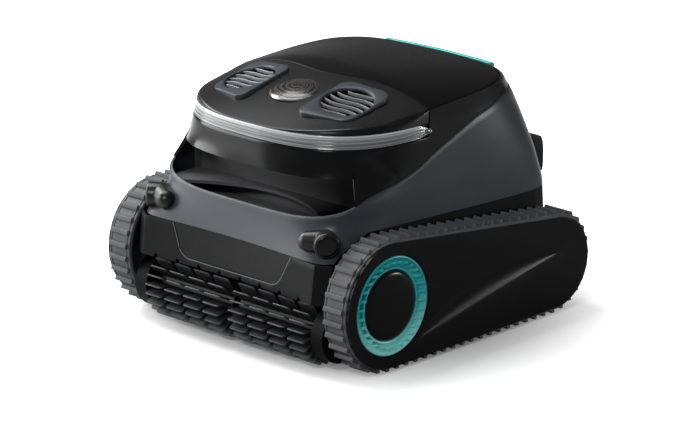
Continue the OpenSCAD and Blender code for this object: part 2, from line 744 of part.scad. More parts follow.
// The rim stands round the lid, and drops below it where the lid swings back
function shell_rim(s, p, lo) =
    let (e = lid_edge_z(p) - 6)
    let (drop = lookup(p, [[43, 0.3], [49, lid_t + seat_gap - 0.25]]))
    [concat([for (j = [0 : 2]) body_at(s, p, lo + (e - lo) * j / 2, 0)],
            [lid_at(s, p, 1, drop), lid_at(s, p, 1, lid_t + seat_gap)]),
     concat([for (j = [0 : 2]) body_at(s, p, lo + (e - 3 - lo) * j / 2, wall)],
            [lid_at(s, p, -3, 7), lid_at(s, p, -3, lid_t + seat_gap)])];

module upper_shell() {
    top = strip_z0 - seat_gap;
    right = concat(
        [for (p = [-90, -81, -73, -65, -58, -52, -47, edge_p - 0.4])
            shell_plain(1, p, visor_z, top)],
        [for (p = [edge_p + 0.4, -35, -30, -24, -17, -9, -0.5])
            shell_plain(1, p, bumper_top(p) + seat_gap, top)],
        [for (p = shell_turns) shell_rim(1, p, bumper_top(p) + seat_gap)]);
    left = concat(
        [for (k = [len(shell_turns) - 2 : -1 : 0])
            shell_rim(-1, shell_turns[k], bumper_top(shell_turns[k]) + seat_gap)],
        [for (p = [-0.5, -9, -17, -24, -30, -35, edge_p + 0.4])
            shell_plain(-1, p, bumper_top(p) + seat_gap, top)],
        [for (p = [edge_p - 0.4, -47, -52, -58, -65, -73, -81])
            shell_plain(-1, p, visor_z, top)]);
    cols = concat(right, left);
    color("#131416")
    difference() {
        union() {
            difference() {
                loft([for (c = cols) c[0]], [for (c = cols) c[1]], true);
                translate([-hinge_half - 9, hinge_y - 9, hinge_z - 7])
                    cube([2 * hinge_half + 18, 14.5, 24]);
            }
            for (s = [-1, 1]) on_side(s) {
                turn_x(hinge_y, hinge_z)
                    polygon([[0, hinge_half + 0.4], [hinge_r, hinge_half + 0.4],
                             [hinge_r, hinge_half + 8], [0, hinge_half + 8]]);
                translate([hinge_half + 0.4, hinge_y - 2, hinge_z - 6])
                    cube([7.6, 10.5, 6]);
            }
        }
        trim_solid(seat_gap);
        turn_x(hinge_y, hinge_z)
            polygon([[0, -hinge_half - 7], [pin_r, -hinge_half - 7],
                     [pin_r, hinge_half + 7], [0, hinge_half + 7]]);
    }
}
shell_turns = [0.5, 10, 19, 27, 34, 39, 42, 44, 46, bumper_end, 52, 56, 62, 70, 79, 90];

// Coloured band behind the lid, grown by g
trim_z = strip_z1 + 26.7;
module trim_solid(g) {
    turns = [60.5 - g / 3, 63, 66, 70, 76, 83, 90];
    cols = concat([for (p = turns) [1, p]],
                  [for (k = [len(turns) - 2 : -1 : 0]) [-1, turns[k]]]);
    loft([for (c = cols) let (q = lid_xy(c[0], c[1], 16.2 + g), r = lid_xy(c[0], c[1], 15.2 + g))
             [[q[0], q[1], trim_z - 8 - g], [r[0], r[1], trim_z - 1 + g]]],
         [for (c = cols) let (q = lid_xy(c[0], c[1], 10.4 - g))
             [[q[0], q[1], trim_z - 8 - g], [q[0], q[1], trim_z + g]]]);
}

module rear_trim() {
    color("#27a9b0") trim_solid(0);
}

module rear_panel() {
    right = [for (p = [bumper_end + 0.2, 52, 56, 62, 70, 79, 90])
        [1, p, 116, sweep_z(body_xy(1, p, 205, 0)[1]) - seat_gap]];
    cols = concat(right, [for (k = [len(right) - 2 : -1 : 0])
        [-1, right[k][1], right[k][2], right[k][3]]]);
    color("#16181a")
    difference() {
        body_wall(cols, wall, 5);
        translate([-button_x, body_rear(service_z) + 2, service_z])
            rotate([90, 0, 0]) cylinder(r = button_r + 0.08, h = 12);
        translate([button_x - 8, body_rear(service_z) - 8, service_z - 6])
            cube([16, 12, 12]);
    }
    color("#16181a")
        for (x = [button_x - 17, button_x + 12.5])
            difference() {
                translate([x, body_rear(service_z) - 1, cap_z - 3.5]) cube([4.5, cap_out + 4.5, 7]);
                translate([x - 1, body_rear(service_z) + cap_out, cap_z])
                    rotate([0, 90, 0]) cylinder(r = cap_pin_r + run_gap, h = 7);
            }
}

service_z = 132;
button_x = 50;
button_r = 9;
cap_z = service_z - 11;
cap_out = 3.2;
cap_pin_r = 1.5;
hood_hw = body_hw - 40;

// Hood across the back over the button and the cap, hollow from below
module rear_hood() {
    color("#141517")
    difference() {
        along_x(-hood_hw, 2 * hood_hw)
            polygon(concat(
                [for (z = [203, 190, 170, 157]) [body_rear(z) + seat_gap, z]],
                [[rear_y + 61, 151], [rear_y + 63, 158], [rear_y + 63.5, 180],
                 [rear_y + 60, 194]]));
        along_x(-hood_hw + 8, 2 * hood_hw - 16)
            polygon([[body_rear(189) + 3, 189], [body_rear(157) + 1.5, 140],
                     [rear_y + 58, 140], [rear_y + 60, 160], [rear_y + 60.5, 180],
                     [rear_y + 58, 189]]);
    }
}

module power_button() {
    color("#27a9b0")
        translate([-button_x, body_rear(service_z) + 1.5, service_z])
            rotate([90, 0, 0]) cylinder(r = button_r, h = 7);
}

module charge_cap() {
    y = body_rear(service_z);
    color("#1d2023") {
        translate([button_x - 12, y + 1.4, cap_z + 1]) cube([24, 2.6, 20]);
        translate([button_x - 16.5, y + cap_out, cap_z])
            rotate([0, 90, 0]) cylinder(r = cap_pin_r, h = 33);
    }
}

// Column list of the strip zone along the front and both front corners
function strip_cols(z0, z1) =
    [for (p = [-90, -82, -74, -66, -58, -50, -42, -34, -26, -18, -9, -0.9]) [1, p, z0, z1]];

module light_strip() {
    color("#c8d0d4")
        body_wall(both_sides(strip_cols(strip_z0, strip_z1)), wall, 2, 1.2);
}

// ------------------------------------------------------------ top and jets

module top_panel() {
    edge = 1.2;
    side = [for (p = [-56, -50, -44, -38, -32, -25, -17, -9, 0])
        let (q = body_xy(1, p, strip_z1, 0))
        [1, p, strip_z1 + seat_gap, crown_top(q[0], q[1]) - edge]];
    plan = concat([for (p = [-90 : 6 : 0]) body_xy(1, p, strip_z1 + 2, 0)],
                  seam_line(-seam_gap / 2, -1),
                  [for (p = [0 : -6 : -84]) body_xy(-1, p, strip_z1 + 2, 0)]);
    color("#131416")
    difference() {
        union() {
            intersection() {
                crown_slab(lid_t);
                translate([0, 0, strip_z1 + seat_gap]) linear_extrude(60) polygon(plan);
            }
            for (s = [-1, 1]) on_side(s) body_wall(side, wall, 1);
        }
        for (s = [-1, 1]) on_side(s)
            on_crown(jet_x, jet_y, -20) linear_extrude(40) polygon(bezel_pts(0.3));
        translate([0, lens_y, crown_z - 60]) linear_extrude(100) polygon(lens_pts(0.3));
    }
}

// Rounded, skewed outline of a jet's raised frame, round its opening
function bezel_pts(i) =
    [for (c = [[24, 37, 9, 0], [-26, 30, 9, 90], [-25, -42, 9, 180], [22, -26, 12, 270]],
          k = [0 : 5])
        [c[0] + (c[2] + i) * cos(c[3] + 18 * k), c[1] + (c[2] + i) * sin(c[3] + 18 * k)]];

module jet_grille() {
    bars = 5;
    color("#7d8791")
    on_crown(jet_x, jet_y, 0.5) {
        difference() {
            translate([0, 0, -7.5]) linear_extrude(8.5) polygon(bezel_pts(0));
            translate([0, 0, -9]) cylinder(r = jet_r, h = 12);
        }
        for (k = [0 : bars - 1])
            translate([0, (k - (bars - 1) / 2) * jet_r * 0.34, -4])
                linear_extrude(4)
                    intersection() {
                        circle(r = jet_r + 1);
                        polygon(concat(
                            [for (x = [-32 : 8 : 32]) [x, 3 * sin(x * 5)]],
                            [for (x = [32 : -8 : -32]) [x, 3 * sin(x * 5) + 2.2]]));
                    }
    }
}

module jet_mesh() {
    color("#0c0d0e")
    on_crown(jet_x, jet_y, -6)
        difference() {
            translate([0, 0, -1.5]) cylinder(r = jet_r - 0.2, h = 1.5);
            for (u = [-4 : 4], v = [-4 : 4])
                if (norm([u, v]) < 4.4)
                    translate([u * 6, v * 6, -2]) translate([-2, -2, 0]) cube([4, 4, 3]);
        }
}

function lens_pts(i) =
    [for (t = [0 : 12 : 348])
        [(lens_w / 2 + i) * cos(t), (lens_w * 0.43 + i) * sin(t)]];

module top_lens() {
    z = crown_top(0, lens_y);
    color("#9a8f86")
    intersection() {
        translate([0, lens_y, z - 12]) linear_extrude(30) polygon(lens_pts(0));
        translate([0, lens_y, z]) rotate([atan(0.2), 0, 0])
            difference() {
                translate([0, 0, -115 + 3.5]) sphere(r = 115, $fn = 96);
                translate([0, 0, -115 - 0.5]) sphere(r = 115, $fn = 96);
            }
    }
}

module sensor_module() {
    z = crown_top(0, lens_y);
    color("#1c1e20")
    translate([0, lens_y, z - 17]) {
        cylinder(r = 20, h = 8);
        translate([0, 0, 8]) cylinder(r = 9, h = 6);
    }
}

module lid() {
    edge = concat([for (p = shell_turns) lid_xy(1, p, 0)],
                  [for (k = [len(shell_turns) - 2 : -1 : 0]) lid_xy(-1, shell_turns[k], 0)]);
    color("#131416")
    intersection() {
        crown_slab(lid_t);
        translate([0, 0, strip_z1 - 40])
            linear_extrude(100) polygon(concat(edge, seam_line(seam_gap / 2, 1)));
    }
}

module hinge_barrel() {
    color("#202326") {
        turn_x(hinge_y, hinge_z)
            polygon([[pin_r + run_gap, -hinge_half], [hinge_r, -hinge_half],
                     [hinge_r, hinge_half], [pin_r + run_gap, hinge_half]]);
        for (u = [-1 : 1])
            along_x(u * (hinge_half - 12) - 10, 20)
                polygon([[hinge_y - 7.5, hinge_z + 2.8], [hinge_y - 3, hinge_z + 1.5],
                         [hinge_y - 1.2, hinge_z + 3.8], [hinge_y - 5.2, hinge_z + 4.9],
                         [hinge_y - 7.5, hinge_z + 4.9]]);
    }
}

module hinge_pin() {
    color("#b8bcc0")
        turn_x(hinge_y, hinge_z)
            polygon([[0, -hinge_half - 7], [pin_r, -hinge_half - 7],
                     [pin_r, hinge_half + 7], [0, hinge_half + 7]]);
}

// ------------------------------------------------------- recess and sensors

module recess_tray() {
    back = front_y + 26.5;
    hw = recess_half_w - 1;
    color("#2c3034") {
        difference() {
            intersection() {
                translate([0, 0, 100]) linear_extrude(200)
                    polygon(body_plan(deck_z + 6, wall + 1));
                translate([-hw, front_y - 46, deck_z + seat_gap])
                    cube([2 * hw, back - front_y + 46, 2.5]);
            }
            for (s = [-1, 1]) at_pod(s) pod_solid(seat_gap);
        }
        translate([-hw, back - 2.5, deck_z + seat_gap])
            cube([2 * hw, 2.5, visor_z - deck_z - seat_gap + 1]);
        intersection() {
            translate([0, 0, 100]) linear_extrude(200)
                polygon(body_plan(visor_z + 4, wall + seat_gap + 0.3));
            union() {
                translate([-hw, front_y - 44, visor_z + 0.5])
                    cube([2 * hw, back - front_y + 44, 2.5]);
                for (s = [-1, 1]) on_side(s)
                    translate([hw - 2.5, front_y + 2, deck_z + seat_gap])
                        cube([2.5, back - front_y - 2, visor_z - deck_z - seat_gap + 1]);
            }
        }
        translate([0, 0, lip_z - 3]) linear_extrude(4)
            intersection() {
                polygon(body_plan(lip_z, wall + 1));
                polygon(concat([for (x = [-hw : hw / 9 : hw])
                                   [x, front_y + 13 - 27 * pow(x / 91, 2)]],
                               [[hw, back - 1], [-hw, back - 1]]));
            }
    }
}

// Corner sensor pods: a barrel that looks outwards, on a tapered housing
pod_r = 17;
pod_at = [body_hw - 24, front_y - 45.5, 154];
pod_end = [-18, -10, 0];
pod_turn = 38;

module at_pod(s) {
    on_side(s) translate(pod_at) children();
}
module pod_aim() {
    rotate([0, 0, 90 - pod_turn]) rotate([90, 0, 0]) children();
}
module pod_solid(g) {
    d = norm(pod_end);
    ra = pod_r + g - 2.5;
    rb = 11 + g;
    r = pod_r + g;
    pod_aim()
        rotate_extrude()
            polygon([[0, -13], [r - 8, -13], [r - 3.5, -11], [r - 1, -7], [r, -2],
                     [r, 14], [r - 1, 16.8], [r - 3.4, 18 + g], [0, 18 + g]]);
    rotate([0, 0, atan2(pod_end[1], pod_end[0])]) rotate([0, 90, 0])
        rotate_extrude()
            polygon(concat(
                [for (t = [-90 : 10 : 10]) [ra * cos(t), ra * sin(t)]],
                [for (t = [10 : 10 : 90]) [rb * cos(t), d + rb * sin(t)]]));
}
module corner_sensor() {
    color("#17191b")
    difference() {
        pod_solid(0);
        pod_aim() translate([0, 0, 15.5]) cylinder(r = 9, h = 5);
    }
}
module sensor_lens() {
    color("#2a3036")
    pod_aim() translate([0, 0, 15.5]) cylinder(r = 8.9, h = 2);
}

// ---------------------------------------------------------- inner machinery

module pump_deck() {
    y0 = front_y + 28;
    color("#26292c") {
        difference() {
            translate([-bay_hw, y0, pump_z]) cube([2 * bay_hw, bay_y0 - seat_gap - y0, 3]);
            for (s = [-1, 1])
                translate([s * jet_x, jet_y, pump_z - 1]) cylinder(r = 12.3, h = 5);
        }
        for (s = [-1, 1])
            translate([s * jet_x, jet_y, pump_z + 3])
                difference() {
                    cylinder(r = jet_r + 4, h = 30);
                    translate([0, 0, -1]) cylinder(r = jet_r + 1.5, h = 40);
                }
    }
}

module pump_motor() {
    color("#3a3e42")
    translate([jet_x, jet_y, 0])
        difference() {
            union() {
                translate([0, 0, deck_z + 2.8 + seat_gap]) cylinder(r = motor_r, h = pump_z - deck_z - 3.4);
                translate([0, 0, pump_z - 1]) cylinder(r = 12, h = 4);
            }
            translate([0, 0, pump_z - 12]) cylinder(r = 4 + run_gap, h = 16);
        }
}

module impeller() {
    color("#c2c6c9")
    translate([jet_x, jet_y, 0]) {
        translate([0, 0, pump_z - 11]) cylinder(r = 4, h = 28);
        translate([0, 0, pump_z + 5]) cylinder(r = 10, h = 14);
        for (k = [0 : 4])
            rotate([0, 0, 72 * k])
                translate([8, -1.5, pump_z + 5])
                    rotate([24, 0, 0]) cube([jet_r - 9, 2.5, 12]);
    }
}

module battery_pack() {
    color("#2f4f9a")
        translate([-62, front_y + 20, floor_z + skin + seat_gap])
            difference() {
                cube([124, 74, 96]);
                translate([-1, -1, 72]) cube([126, 2, 2]);
                translate([-1, 73, 72]) cube([126, 2, 2]);
            }
}

module filter_bay() {
    base = floor_z + skin + seat_gap;
    color("#202326") {
        difference() {
            translate([0, 0, bay_z0]) linear_extrude(bay_z1 - bay_z0)
                polygon(rounded_rect(-bay_hw, bay_y0, bay_hw, bay_y1, 20));
            translate([0, 0, bay_z0 + 2.5]) linear_extrude(bay_z1)
                polygon(rounded_rect(-bay_hw + 2.5, bay_y0 + 2.5, bay_hw - 2.5, bay_y1 - 2.5, 17.5));
            translate([-mouth_hw, mouth_y0, bay_z0 - 1])
                cube([2 * mouth_hw, mouth_y1 - mouth_y0, 5]);
        }
        translate([-mouth_hw - 3, mouth_y0 - 3, base])
            difference() {
                cube([2 * mouth_hw + 6, mouth_y1 - mouth_y0 + 6, bay_z0 - base]);
                translate([3, 3, -1])
                    cube([2 * mouth_hw, mouth_y1 - mouth_y0, bay_z0 - base + 2]);
            }
    }
}

basket_in = 5;
basket_z0 = bay_z0 + 2.5 + seat_gap;
basket_z1 = bay_z1 - 6;
module basket_windows(over) {
    h = (basket_z1 - basket_z0 - 40) / 2;
    for (row = [0, 1]) {
        for (k = [-1 : 1])
            translate([k * 66 - 27, bay_y0 + basket_in - over, basket_z0 + 12 + row * (h + 8)])
                cube([54, bay_y1 - bay_y0 - 2 * basket_in + 2 * over, h]);
        for (k = [0, 1])
            translate([-bay_hw + basket_in - over, bay_y0 + 30 + k * 58,
                       basket_z0 + 12 + row * (h + 8)])
                cube([2 * (bay_hw - basket_in + over), 50, h]);
    }
}
module basket_outline(i) {
    polygon(rounded_rect(-bay_hw + basket_in + i, bay_y0 + basket_in + i,
                         bay_hw - basket_in - i, bay_y1 - basket_in - i, 17 - i));
}

module filter_basket() {
    color("#8c959c") {
        difference() {
            translate([0, 0, basket_z0]) linear_extrude(basket_z1 - basket_z0) basket_outline(0);
            translate([0, 0, basket_z0 + 2.5]) linear_extrude(basket_z1) basket_outline(2.5);
            basket_windows(1);
            translate([-mouth_hw + 2, mouth_y0 + 2, basket_z0 - 1])
                cube([2 * mouth_hw - 4, mouth_y1 - mouth_y0 - 4, 5]);
        }
        for (s = [-1, 1])
            difference() {
                translate([s * (mouth_hw + 1) - 2, mouth_y0 - 4, basket_z0 + 2])
                    cube([4, 8, 6.5]);
                turn_x(mouth_y0, basket_z0 + 5.5)
                    polygon([[0, -mouth_hw - 9], [1.5 + run_gap, -mouth_hw - 9],
                             [1.5 + run_gap, mouth_hw + 9], [0, mouth_hw + 9]]);
            }
    }
}

module filter_mesh() {
    color("#d5dadd")
        difference() {
            translate([0, 0, basket_z0 + 6]) linear_extrude(basket_z1 - basket_z0 - 16)
                basket_outline(2.7);
            translate([0, 0, basket_z0]) linear_extrude(basket_z1) basket_outline(3.7);
        }
}

module basket_handle() {
    y = (bay_y0 + bay_y1) / 2;
    w = bay_hw - basket_in - 3.9;
    color("#27a9b0")
    translate([0, y + 8, 0]) rotate([90, 0, 0])
        linear_extrude(16)
            polygon([[-w, basket_z1 - 14], [-w + 3, basket_z1 - 14], [-w + 3, basket_z1 - 3],
                     [-w * 0.5, basket_z1 + 13], [w * 0.5, basket_z1 + 13],
                     [w - 3, basket_z1 - 3], [w - 3, basket_z1 - 14], [w, basket_z1 - 14],
                     [w, basket_z1 - 1], [w * 0.52, basket_z1 + 17], [-w * 0.52, basket_z1 + 17],
                     [-w, basket_z1 - 1]]);
}

module intake_flap() {
    z = basket_z0 + 5.5;
    color("#3a3e42") {
        translate([-mouth_hw + 3.5, mouth_y0 + 0.8, z - 1.5])
            cube([2 * mouth_hw - 7, mouth_y1 - mouth_y0 - 2, 2.5]);
        translate([-mouth_hw - 2.5, mouth_y0, z])
            rotate([0, 90, 0]) cylinder(r = 1.5, h = 2 * mouth_hw + 5);
    }
}

chassis();
bottom_plate();
on_side(-1) track_frame();  // track_frame_l
on_side(1) track_frame();  // track_frame_r
on_side(-1) drive_case();  // drive_case_l
on_side(1) drive_case();  // drive_case_r
on_side(-1) belt();  // belt_l
on_side(1) belt();  // belt_r
on_side(-1) track_cover();  // track_cover_l
on_side(1) track_cover();  // track_cover_r
on_side(-1) front_wheel();  // front_wheel_l
on_side(1) front_wheel();  // front_wheel_r
on_side(-1) wheel_ring();  // wheel_ring_l
on_side(1) wheel_ring();  // wheel_ring_r
on_side(-1) hub_cap();  // hub_cap_l
on_side(1) hub_cap();  // hub_cap_r
on_side(-1) rear_wheel();  // rear_wheel_l
on_side(1) rear_wheel();  // rear_wheel_r
on_side(-1) idler();  // idler_l
on_side(1) idler();  // idler_r
on_side(-1) brush();  // brush_l
on_side(1) brush();  // brush_r
brush_bracket();
brush_guard();
front_panel();
front_window();
bumper();
recess_tray();
at_pod(-1) corner_sensor();  // corner_sensor_l
at_pod(1) corner_sensor();  // corner_sensor_r
at_pod(-1) sensor_lens();  // sensor_lens_l
at_pod(1) sensor_lens();  // sensor_lens_r
upper_shell();
rear_panel();
rear_hood();
power_button();
charge_cap();
rear_trim();
light_strip();
top_panel();
on_side(-1) jet_grille();  // jet_grille_l
on_side(1) jet_grille();  // jet_grille_r
on_side(-1) jet_mesh();  // jet_mesh_l
on_side(1) jet_mesh();  // jet_mesh_r
top_lens();
sensor_module();
lid();
hinge_barrel();
hinge_pin();
pump_deck();
on_side(-1) pump_motor();  // pump_motor_l
on_side(1) pump_motor();  // pump_motor_r
on_side(-1) impeller();  // impeller_l
on_side(1) impeller();  // impeller_r
battery_pack();
filter_bay();
filter_basket();
filter_mesh();
basket_handle();
intake_flap();
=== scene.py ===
"""Looks of the tracked pool cleaner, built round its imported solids."""
import math
import bpy
import bmesh
from mathutils import Matrix, Vector


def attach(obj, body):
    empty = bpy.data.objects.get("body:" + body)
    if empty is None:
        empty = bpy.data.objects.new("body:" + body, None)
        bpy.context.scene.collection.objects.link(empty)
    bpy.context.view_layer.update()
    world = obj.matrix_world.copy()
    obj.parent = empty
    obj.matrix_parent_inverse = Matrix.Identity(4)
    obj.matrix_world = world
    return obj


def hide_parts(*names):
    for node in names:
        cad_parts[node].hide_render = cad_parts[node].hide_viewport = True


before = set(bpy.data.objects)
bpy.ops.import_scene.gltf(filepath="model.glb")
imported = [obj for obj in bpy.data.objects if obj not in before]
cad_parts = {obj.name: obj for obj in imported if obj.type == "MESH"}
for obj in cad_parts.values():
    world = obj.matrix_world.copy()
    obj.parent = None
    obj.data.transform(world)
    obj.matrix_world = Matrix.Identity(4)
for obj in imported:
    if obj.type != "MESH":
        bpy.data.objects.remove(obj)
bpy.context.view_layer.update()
K = 0.001  # metres in a millimetre

# ------------------------------------------------------------------ sizes in mm

# distance of the axles and of the body's middle along y
front_axle, rear_axle, middle = -137.0, 153.0, -27.0
# height of each axle and radius of the belt round it
front_height, rear_height = 80.8, 64.8
front_radius, rear_radius = 76, 60
# sides of the right belt along x, its thickness and the distance between cleats
belt_inside, belt_outside, belt_thickness = 162.0, 196.5, 4
cleat_pitch = 16.0
# outer face of the right side cover along x, and the radius of its opening
cover_face, ring_hole = 200.0, 60.7
# body: heights of its lower edge and crown, half its width, thickness of its walls
lower_edge, crown_height, half_width, wall = 133.0, 307.0, 160.0, 3.2
# heights of the bumper's lip, the visor's lower edge and the light strip
lip_height, visor_edge, strip_low, strip_high = 173.0, 220.0, 252.0, 267.5
# half the width of the recess in the front, and the rear end of the lid along y
recess_half, rear_of_lid = 141.0, rear_axle - 7.8
# middle of the right jet and radius of its opening
jet_x, jet_y, jet_opening = 80, -88, 31.5
# middle of the lens along y, axle of the brushes, height of the front panel's lower edge
lens_y = front_axle + 46
brush_y, brush_z = front_axle - 38, 45
panel_low = 86

# ------------------------------------------------------------------ node graphs


class Wire:
    """An output of a node. Arithmetic on it adds Math nodes."""

    def __init__(self, graph, socket):
        self.graph, self.socket = graph, socket

    def math(self, operation, *others):
        values = {i: v for i, v in enumerate((self,) + others)}
        return self.graph.add("ShaderNodeMath", {"operation": operation}, values)

    def flipped(self, operation, other):
        return self.graph.add("ShaderNodeMath", {"operation": operation}, {0: other, 1: self})

    def __add__(self, other):
        return self.math("ADD", other)

    def __sub__(self, other):
        return self.math("SUBTRACT", other)

    def __rsub__(self, other):
        return self.flipped("SUBTRACT", other)

    def __mul__(self, other):
        return self.math("MULTIPLY", other)

    def __truediv__(self, other):
        return self.math("DIVIDE", other)

    def __rtruediv__(self, other):
        return self.flipped("DIVIDE", other)

    def __pow__(self, other):
        return self.math("POWER", other)

    __radd__ = __add__
    __rmul__ = __mul__


class Graph:
    """A node tree whose nodes are all made by one method."""

    def __init__(self, tree):
        self.tree = tree

    def put(self, socket, value):
        if isinstance(value, Wire):
            self.tree.links.new(value.socket, socket)
        else:
            socket.default_value = value

    def add(self, kind, settings=None, inputs=None, out=0):
        node = self.tree.nodes.new(kind)
        for key, value in (settings or {}).items():
            if key == "stops":
                ramp = node.color_ramp
                while len(ramp.elements) < len(value):
                    ramp.elements.new(0.5)
                for element, (place, shade) in zip(ramp.elements, value):
                    element.position = place
                    element.color = (shade, shade, shade, 1) if isinstance(shade, float) else (*shade, 1)
            else:
                setattr(node, key, value)
        for key, value in (inputs or {}).items():
            self.put(node.inputs[key], value)
        return Wire(self, node.outputs[out])

    def fade(self, value, start, stop, low, high, kind="LINEAR"):
        """Goes from low to high while value goes from start to stop."""
        return self.add("ShaderNodeMapRange", {"interpolation_type": kind}, {
            "Value": value, "From Min": start, "From Max": stop, "To Min": low, "To Max": high})


class Finish(Graph):
    """A surface finish: Principled shader with patterns on object coordinates."""

    def __init__(self, name, **constants):
        self.material = bpy.data.materials.new(name)
        self.material.use_nodes = True
        super().__init__(self.material.node_tree)
        self.tree.nodes.clear()
        self.end = self.tree.nodes.new("ShaderNodeOutputMaterial")
        self.shader = self.tree.nodes.new("ShaderNodeBsdfPrincipled")
        self.tree.links.new(self.shader.outputs[0], self.end.inputs[0])
        self.place = self.add("ShaderNodeTexCoord", out="Object")
        for key, value in constants.items():
            self.set(key, value)

    def set(self, key, value):
        self.put(self.shader.inputs[key.replace("_", " ")], value)

    def noise(self, scale, detail=2.0, rough=0.5, place=None, distortion=0.0):
        return self.add("ShaderNodeTexNoise", None, {
            "Vector": place or self.place, "Scale": scale, "Detail": detail,
            "Roughness": rough, "Distortion": distortion})

    def ramp(self, value, *stops):
        return self.add("ShaderNodeValToRGB", {"stops": stops}, {0: value})

    def mix(self, factor, a, b):
        a = a if isinstance(a, Wire) else (*a, 1)
        b = b if isinstance(b, Wire) else (*b, 1)
        return self.add("ShaderNodeMix", {"data_type": "RGBA"}, {0: factor, 6: a, 7: b}, out=2)

    def stretch(self, x, y, z):
        return self.add("ShaderNodeMapping", None, {"Vector": self.place, "Scale": (x, y, z)})

    def axis(self, index):
        return self.add("ShaderNodeSeparateXYZ", None, {0: self.place}, out=index)

    def bump(self, height, strength, distance):
        normal = self.add("ShaderNodeBump", None, {
            "Height": height, "Strength": strength, "Distance": distance})
        self.set("Normal", normal)


def moulded(name, colour, rough, grain=0.12, cloud=0.25, scale=900.0, **constants):
    """Moulded plastic: faint clouding, a rubbed look in the gloss, fine grain."""
    f = Finish(name, **constants)
    slow = f.noise(14.0, 3.0)
    fine = f.noise(scale, 2.0, 0.6)
    light = tuple(min(1, c * (1 + cloud)) for c in colour)
    dark = tuple(c * (1 - cloud) for c in colour)
    f.set("Base_Color", f.mix(f.ramp(slow, (0.3, 0.0), (0.7, 1.0)), dark, light))
    f.set("Roughness", rough + (slow - 0.5) * 0.08 + (fine - 0.5) * 0.1)
    f.bump(fine, grain, 0.0002)
    return f


def plastic(*values, **constants):
    return moulded(*values, **constants).material


satin_body = plastic("satin_blue_grey", (0.050, 0.058, 0.069), 0.30, 0.08, 0.05, Specular_IOR_Level=0.2)
top_black = plastic("top_gloss", (0.0036, 0.0037, 0.0040), 0.3, 0.012, 0.2, 500.0, Specular_IOR_Level=0.35)
gloss_black = plastic("gloss_black", (0.0036, 0.0037, 0.0040), 0.14, 0.012, 0.2, 500.0,
                      Specular_IOR_Level=0.35)
cover_black = plastic("cover_gloss", (0.0022, 0.0023, 0.0026), 0.24, 0.01, 0.2, 500.0,
                      Specular_IOR_Level=0.17)
hub_black = plastic("hub_gloss", (0.0055, 0.0056, 0.006), 0.17, 0.01, 0.2, 500.0, Specular_IOR_Level=0.15)
pod_black = plastic("pod_gloss", (0.005, 0.005, 0.0054), 0.34, 0.02, 0.2, 500.0, Specular_IOR_Level=0.5)
panel_black = plastic("panel_satin", (0.0075, 0.0078, 0.0084), 0.36, 0.06, 0.15, Specular_IOR_Level=0.12)
lid_black = plastic("lid_satin", (0.0036, 0.0037, 0.0040), 0.27, 0.02, 0.2, 500.0, Specular_IOR_Level=0.08)
frame_black = plastic("frame_matt", (0.0040, 0.0041, 0.0045), 0.5, 0.1, 0.2, Specular_IOR_Level=0.08)
window_smoke = plastic("window_smoke", (0.006, 0.0063, 0.007), 0.28, 0.01, 0.15, Specular_IOR_Level=0.18)
# Pale grey for the painted highlight along the window's edge.
painted_edge_highlight = plastic("edge_line", (0.16, 0.165, 0.17), 0.4, 0.05, 0.1)
inner_grey = plastic("inner_moulding", (0.03, 0.032, 0.035), 0.48, 0.15, 0.15)
fin_grey = plastic("fin_satin", (0.21, 0.23, 0.25), 0.38, 0.1, 0.08)
button_teal = plastic("teal_gloss", (0.006, 0.56, 0.55), 0.24, 0.03, 0.08, Coat_Weight=0.3)


def tray_finish():
    """Satin tray with painted light and shade: pale grey at its left where light falls on the ledge, nearly
    black towards its right, which lies in shade.
    """
    f = moulded("tray_satin", (0.02, 0.0205, 0.022), 0.5, 0.06, 0.1, Specular_IOR_Level=0.05)
    # Painted light and shade across x: pale on the left, nearly black on the right.
    deep = f.fade(f.axis("X"), -0.02, 0.1, 0.0, 1.0)
    f.set("Base_Color", f.mix(deep, (0.11, 0.111, 0.115), (0.002, 0.002, 0.0023)))
    return f.material


def tread_finish():
    """Rubbed tread rubber with a coarse grain."""
    f = Finish("tread_rubber", Specular_IOR_Level=0.3)
    slow = f.noise(22.0, 4.0, 0.6)
    fine = f.noise(650.0, 3.0, 0.65)
    rub = f.ramp(slow, (0.3, 0.0), (0.75, 1.0))
    f.set("Base_Color", f.mix(rub, (0.088, 0.090, 0.097), (0.135, 0.138, 0.147)))
    f.set("Roughness", 0.6 + (fine - 0.5) * 0.25)
    f.bump(fine + slow * 0.4, 0.25, 0.0004)
    return f.material


def brush_finish():
    """Brush rubber, nearly black at the core as painted shade between the paddles, and paler grey at the
    tips.
    """
    f = Finish("brush_rubber", Specular_IOR_Level=0.3)
    slow = f.noise(30.0, 3.0)
    fine = f.noise(420.0, 2.0)
    y, z = f.axis("Y") - brush_y * K, f.axis("Z") - brush_z * K
    reach = (y * y + z * z) ** 0.5
    pale_tips = f.fade(reach, 0.036, 0.0416, 0.0, 1.0)
    # Painted shade: the core and the paddle roots are nearly black, where shade falls between the paddles.
    core = f.fade(reach, 0.019, 0.027, 0.0, 1.0)
    plates = f.mix(slow, (0.017, 0.0173, 0.0185), (0.03, 0.031, 0.033))
    f.set("Base_Color", f.mix(pale_tips, f.mix(core, (0.003, 0.003, 0.0033), plates), (0.075, 0.077, 0.082)))
    f.set("Roughness", 0.45 + (fine - 0.5) * 0.2)
    f.bump(fine, 0.2, 0.0003)
    return f.material


def ring_finish():
    """Teal ring moulding with painted light: paler low down, where the lower ring catches the light."""
    f = Finish("ring_teal", IOR=1.46, Specular_IOR_Level=0.35)
    slow = f.noise(40.0, 2.0)
    # Painted light: the ring turns pale towards its bottom.
    low = f.fade(f.axis("Z"), 0.03, 0.09, 1.0, 0.0, "SMOOTHSTEP")
    clear = f.mix(slow, (0.018, 0.46, 0.50), (0.06, 0.62, 0.64))
    f.set("Base_Color", f.mix(low, clear, (0.30, 0.88, 0.85)))
    f.set("Roughness", 0.22 + slow * 0.1)
    return f.material


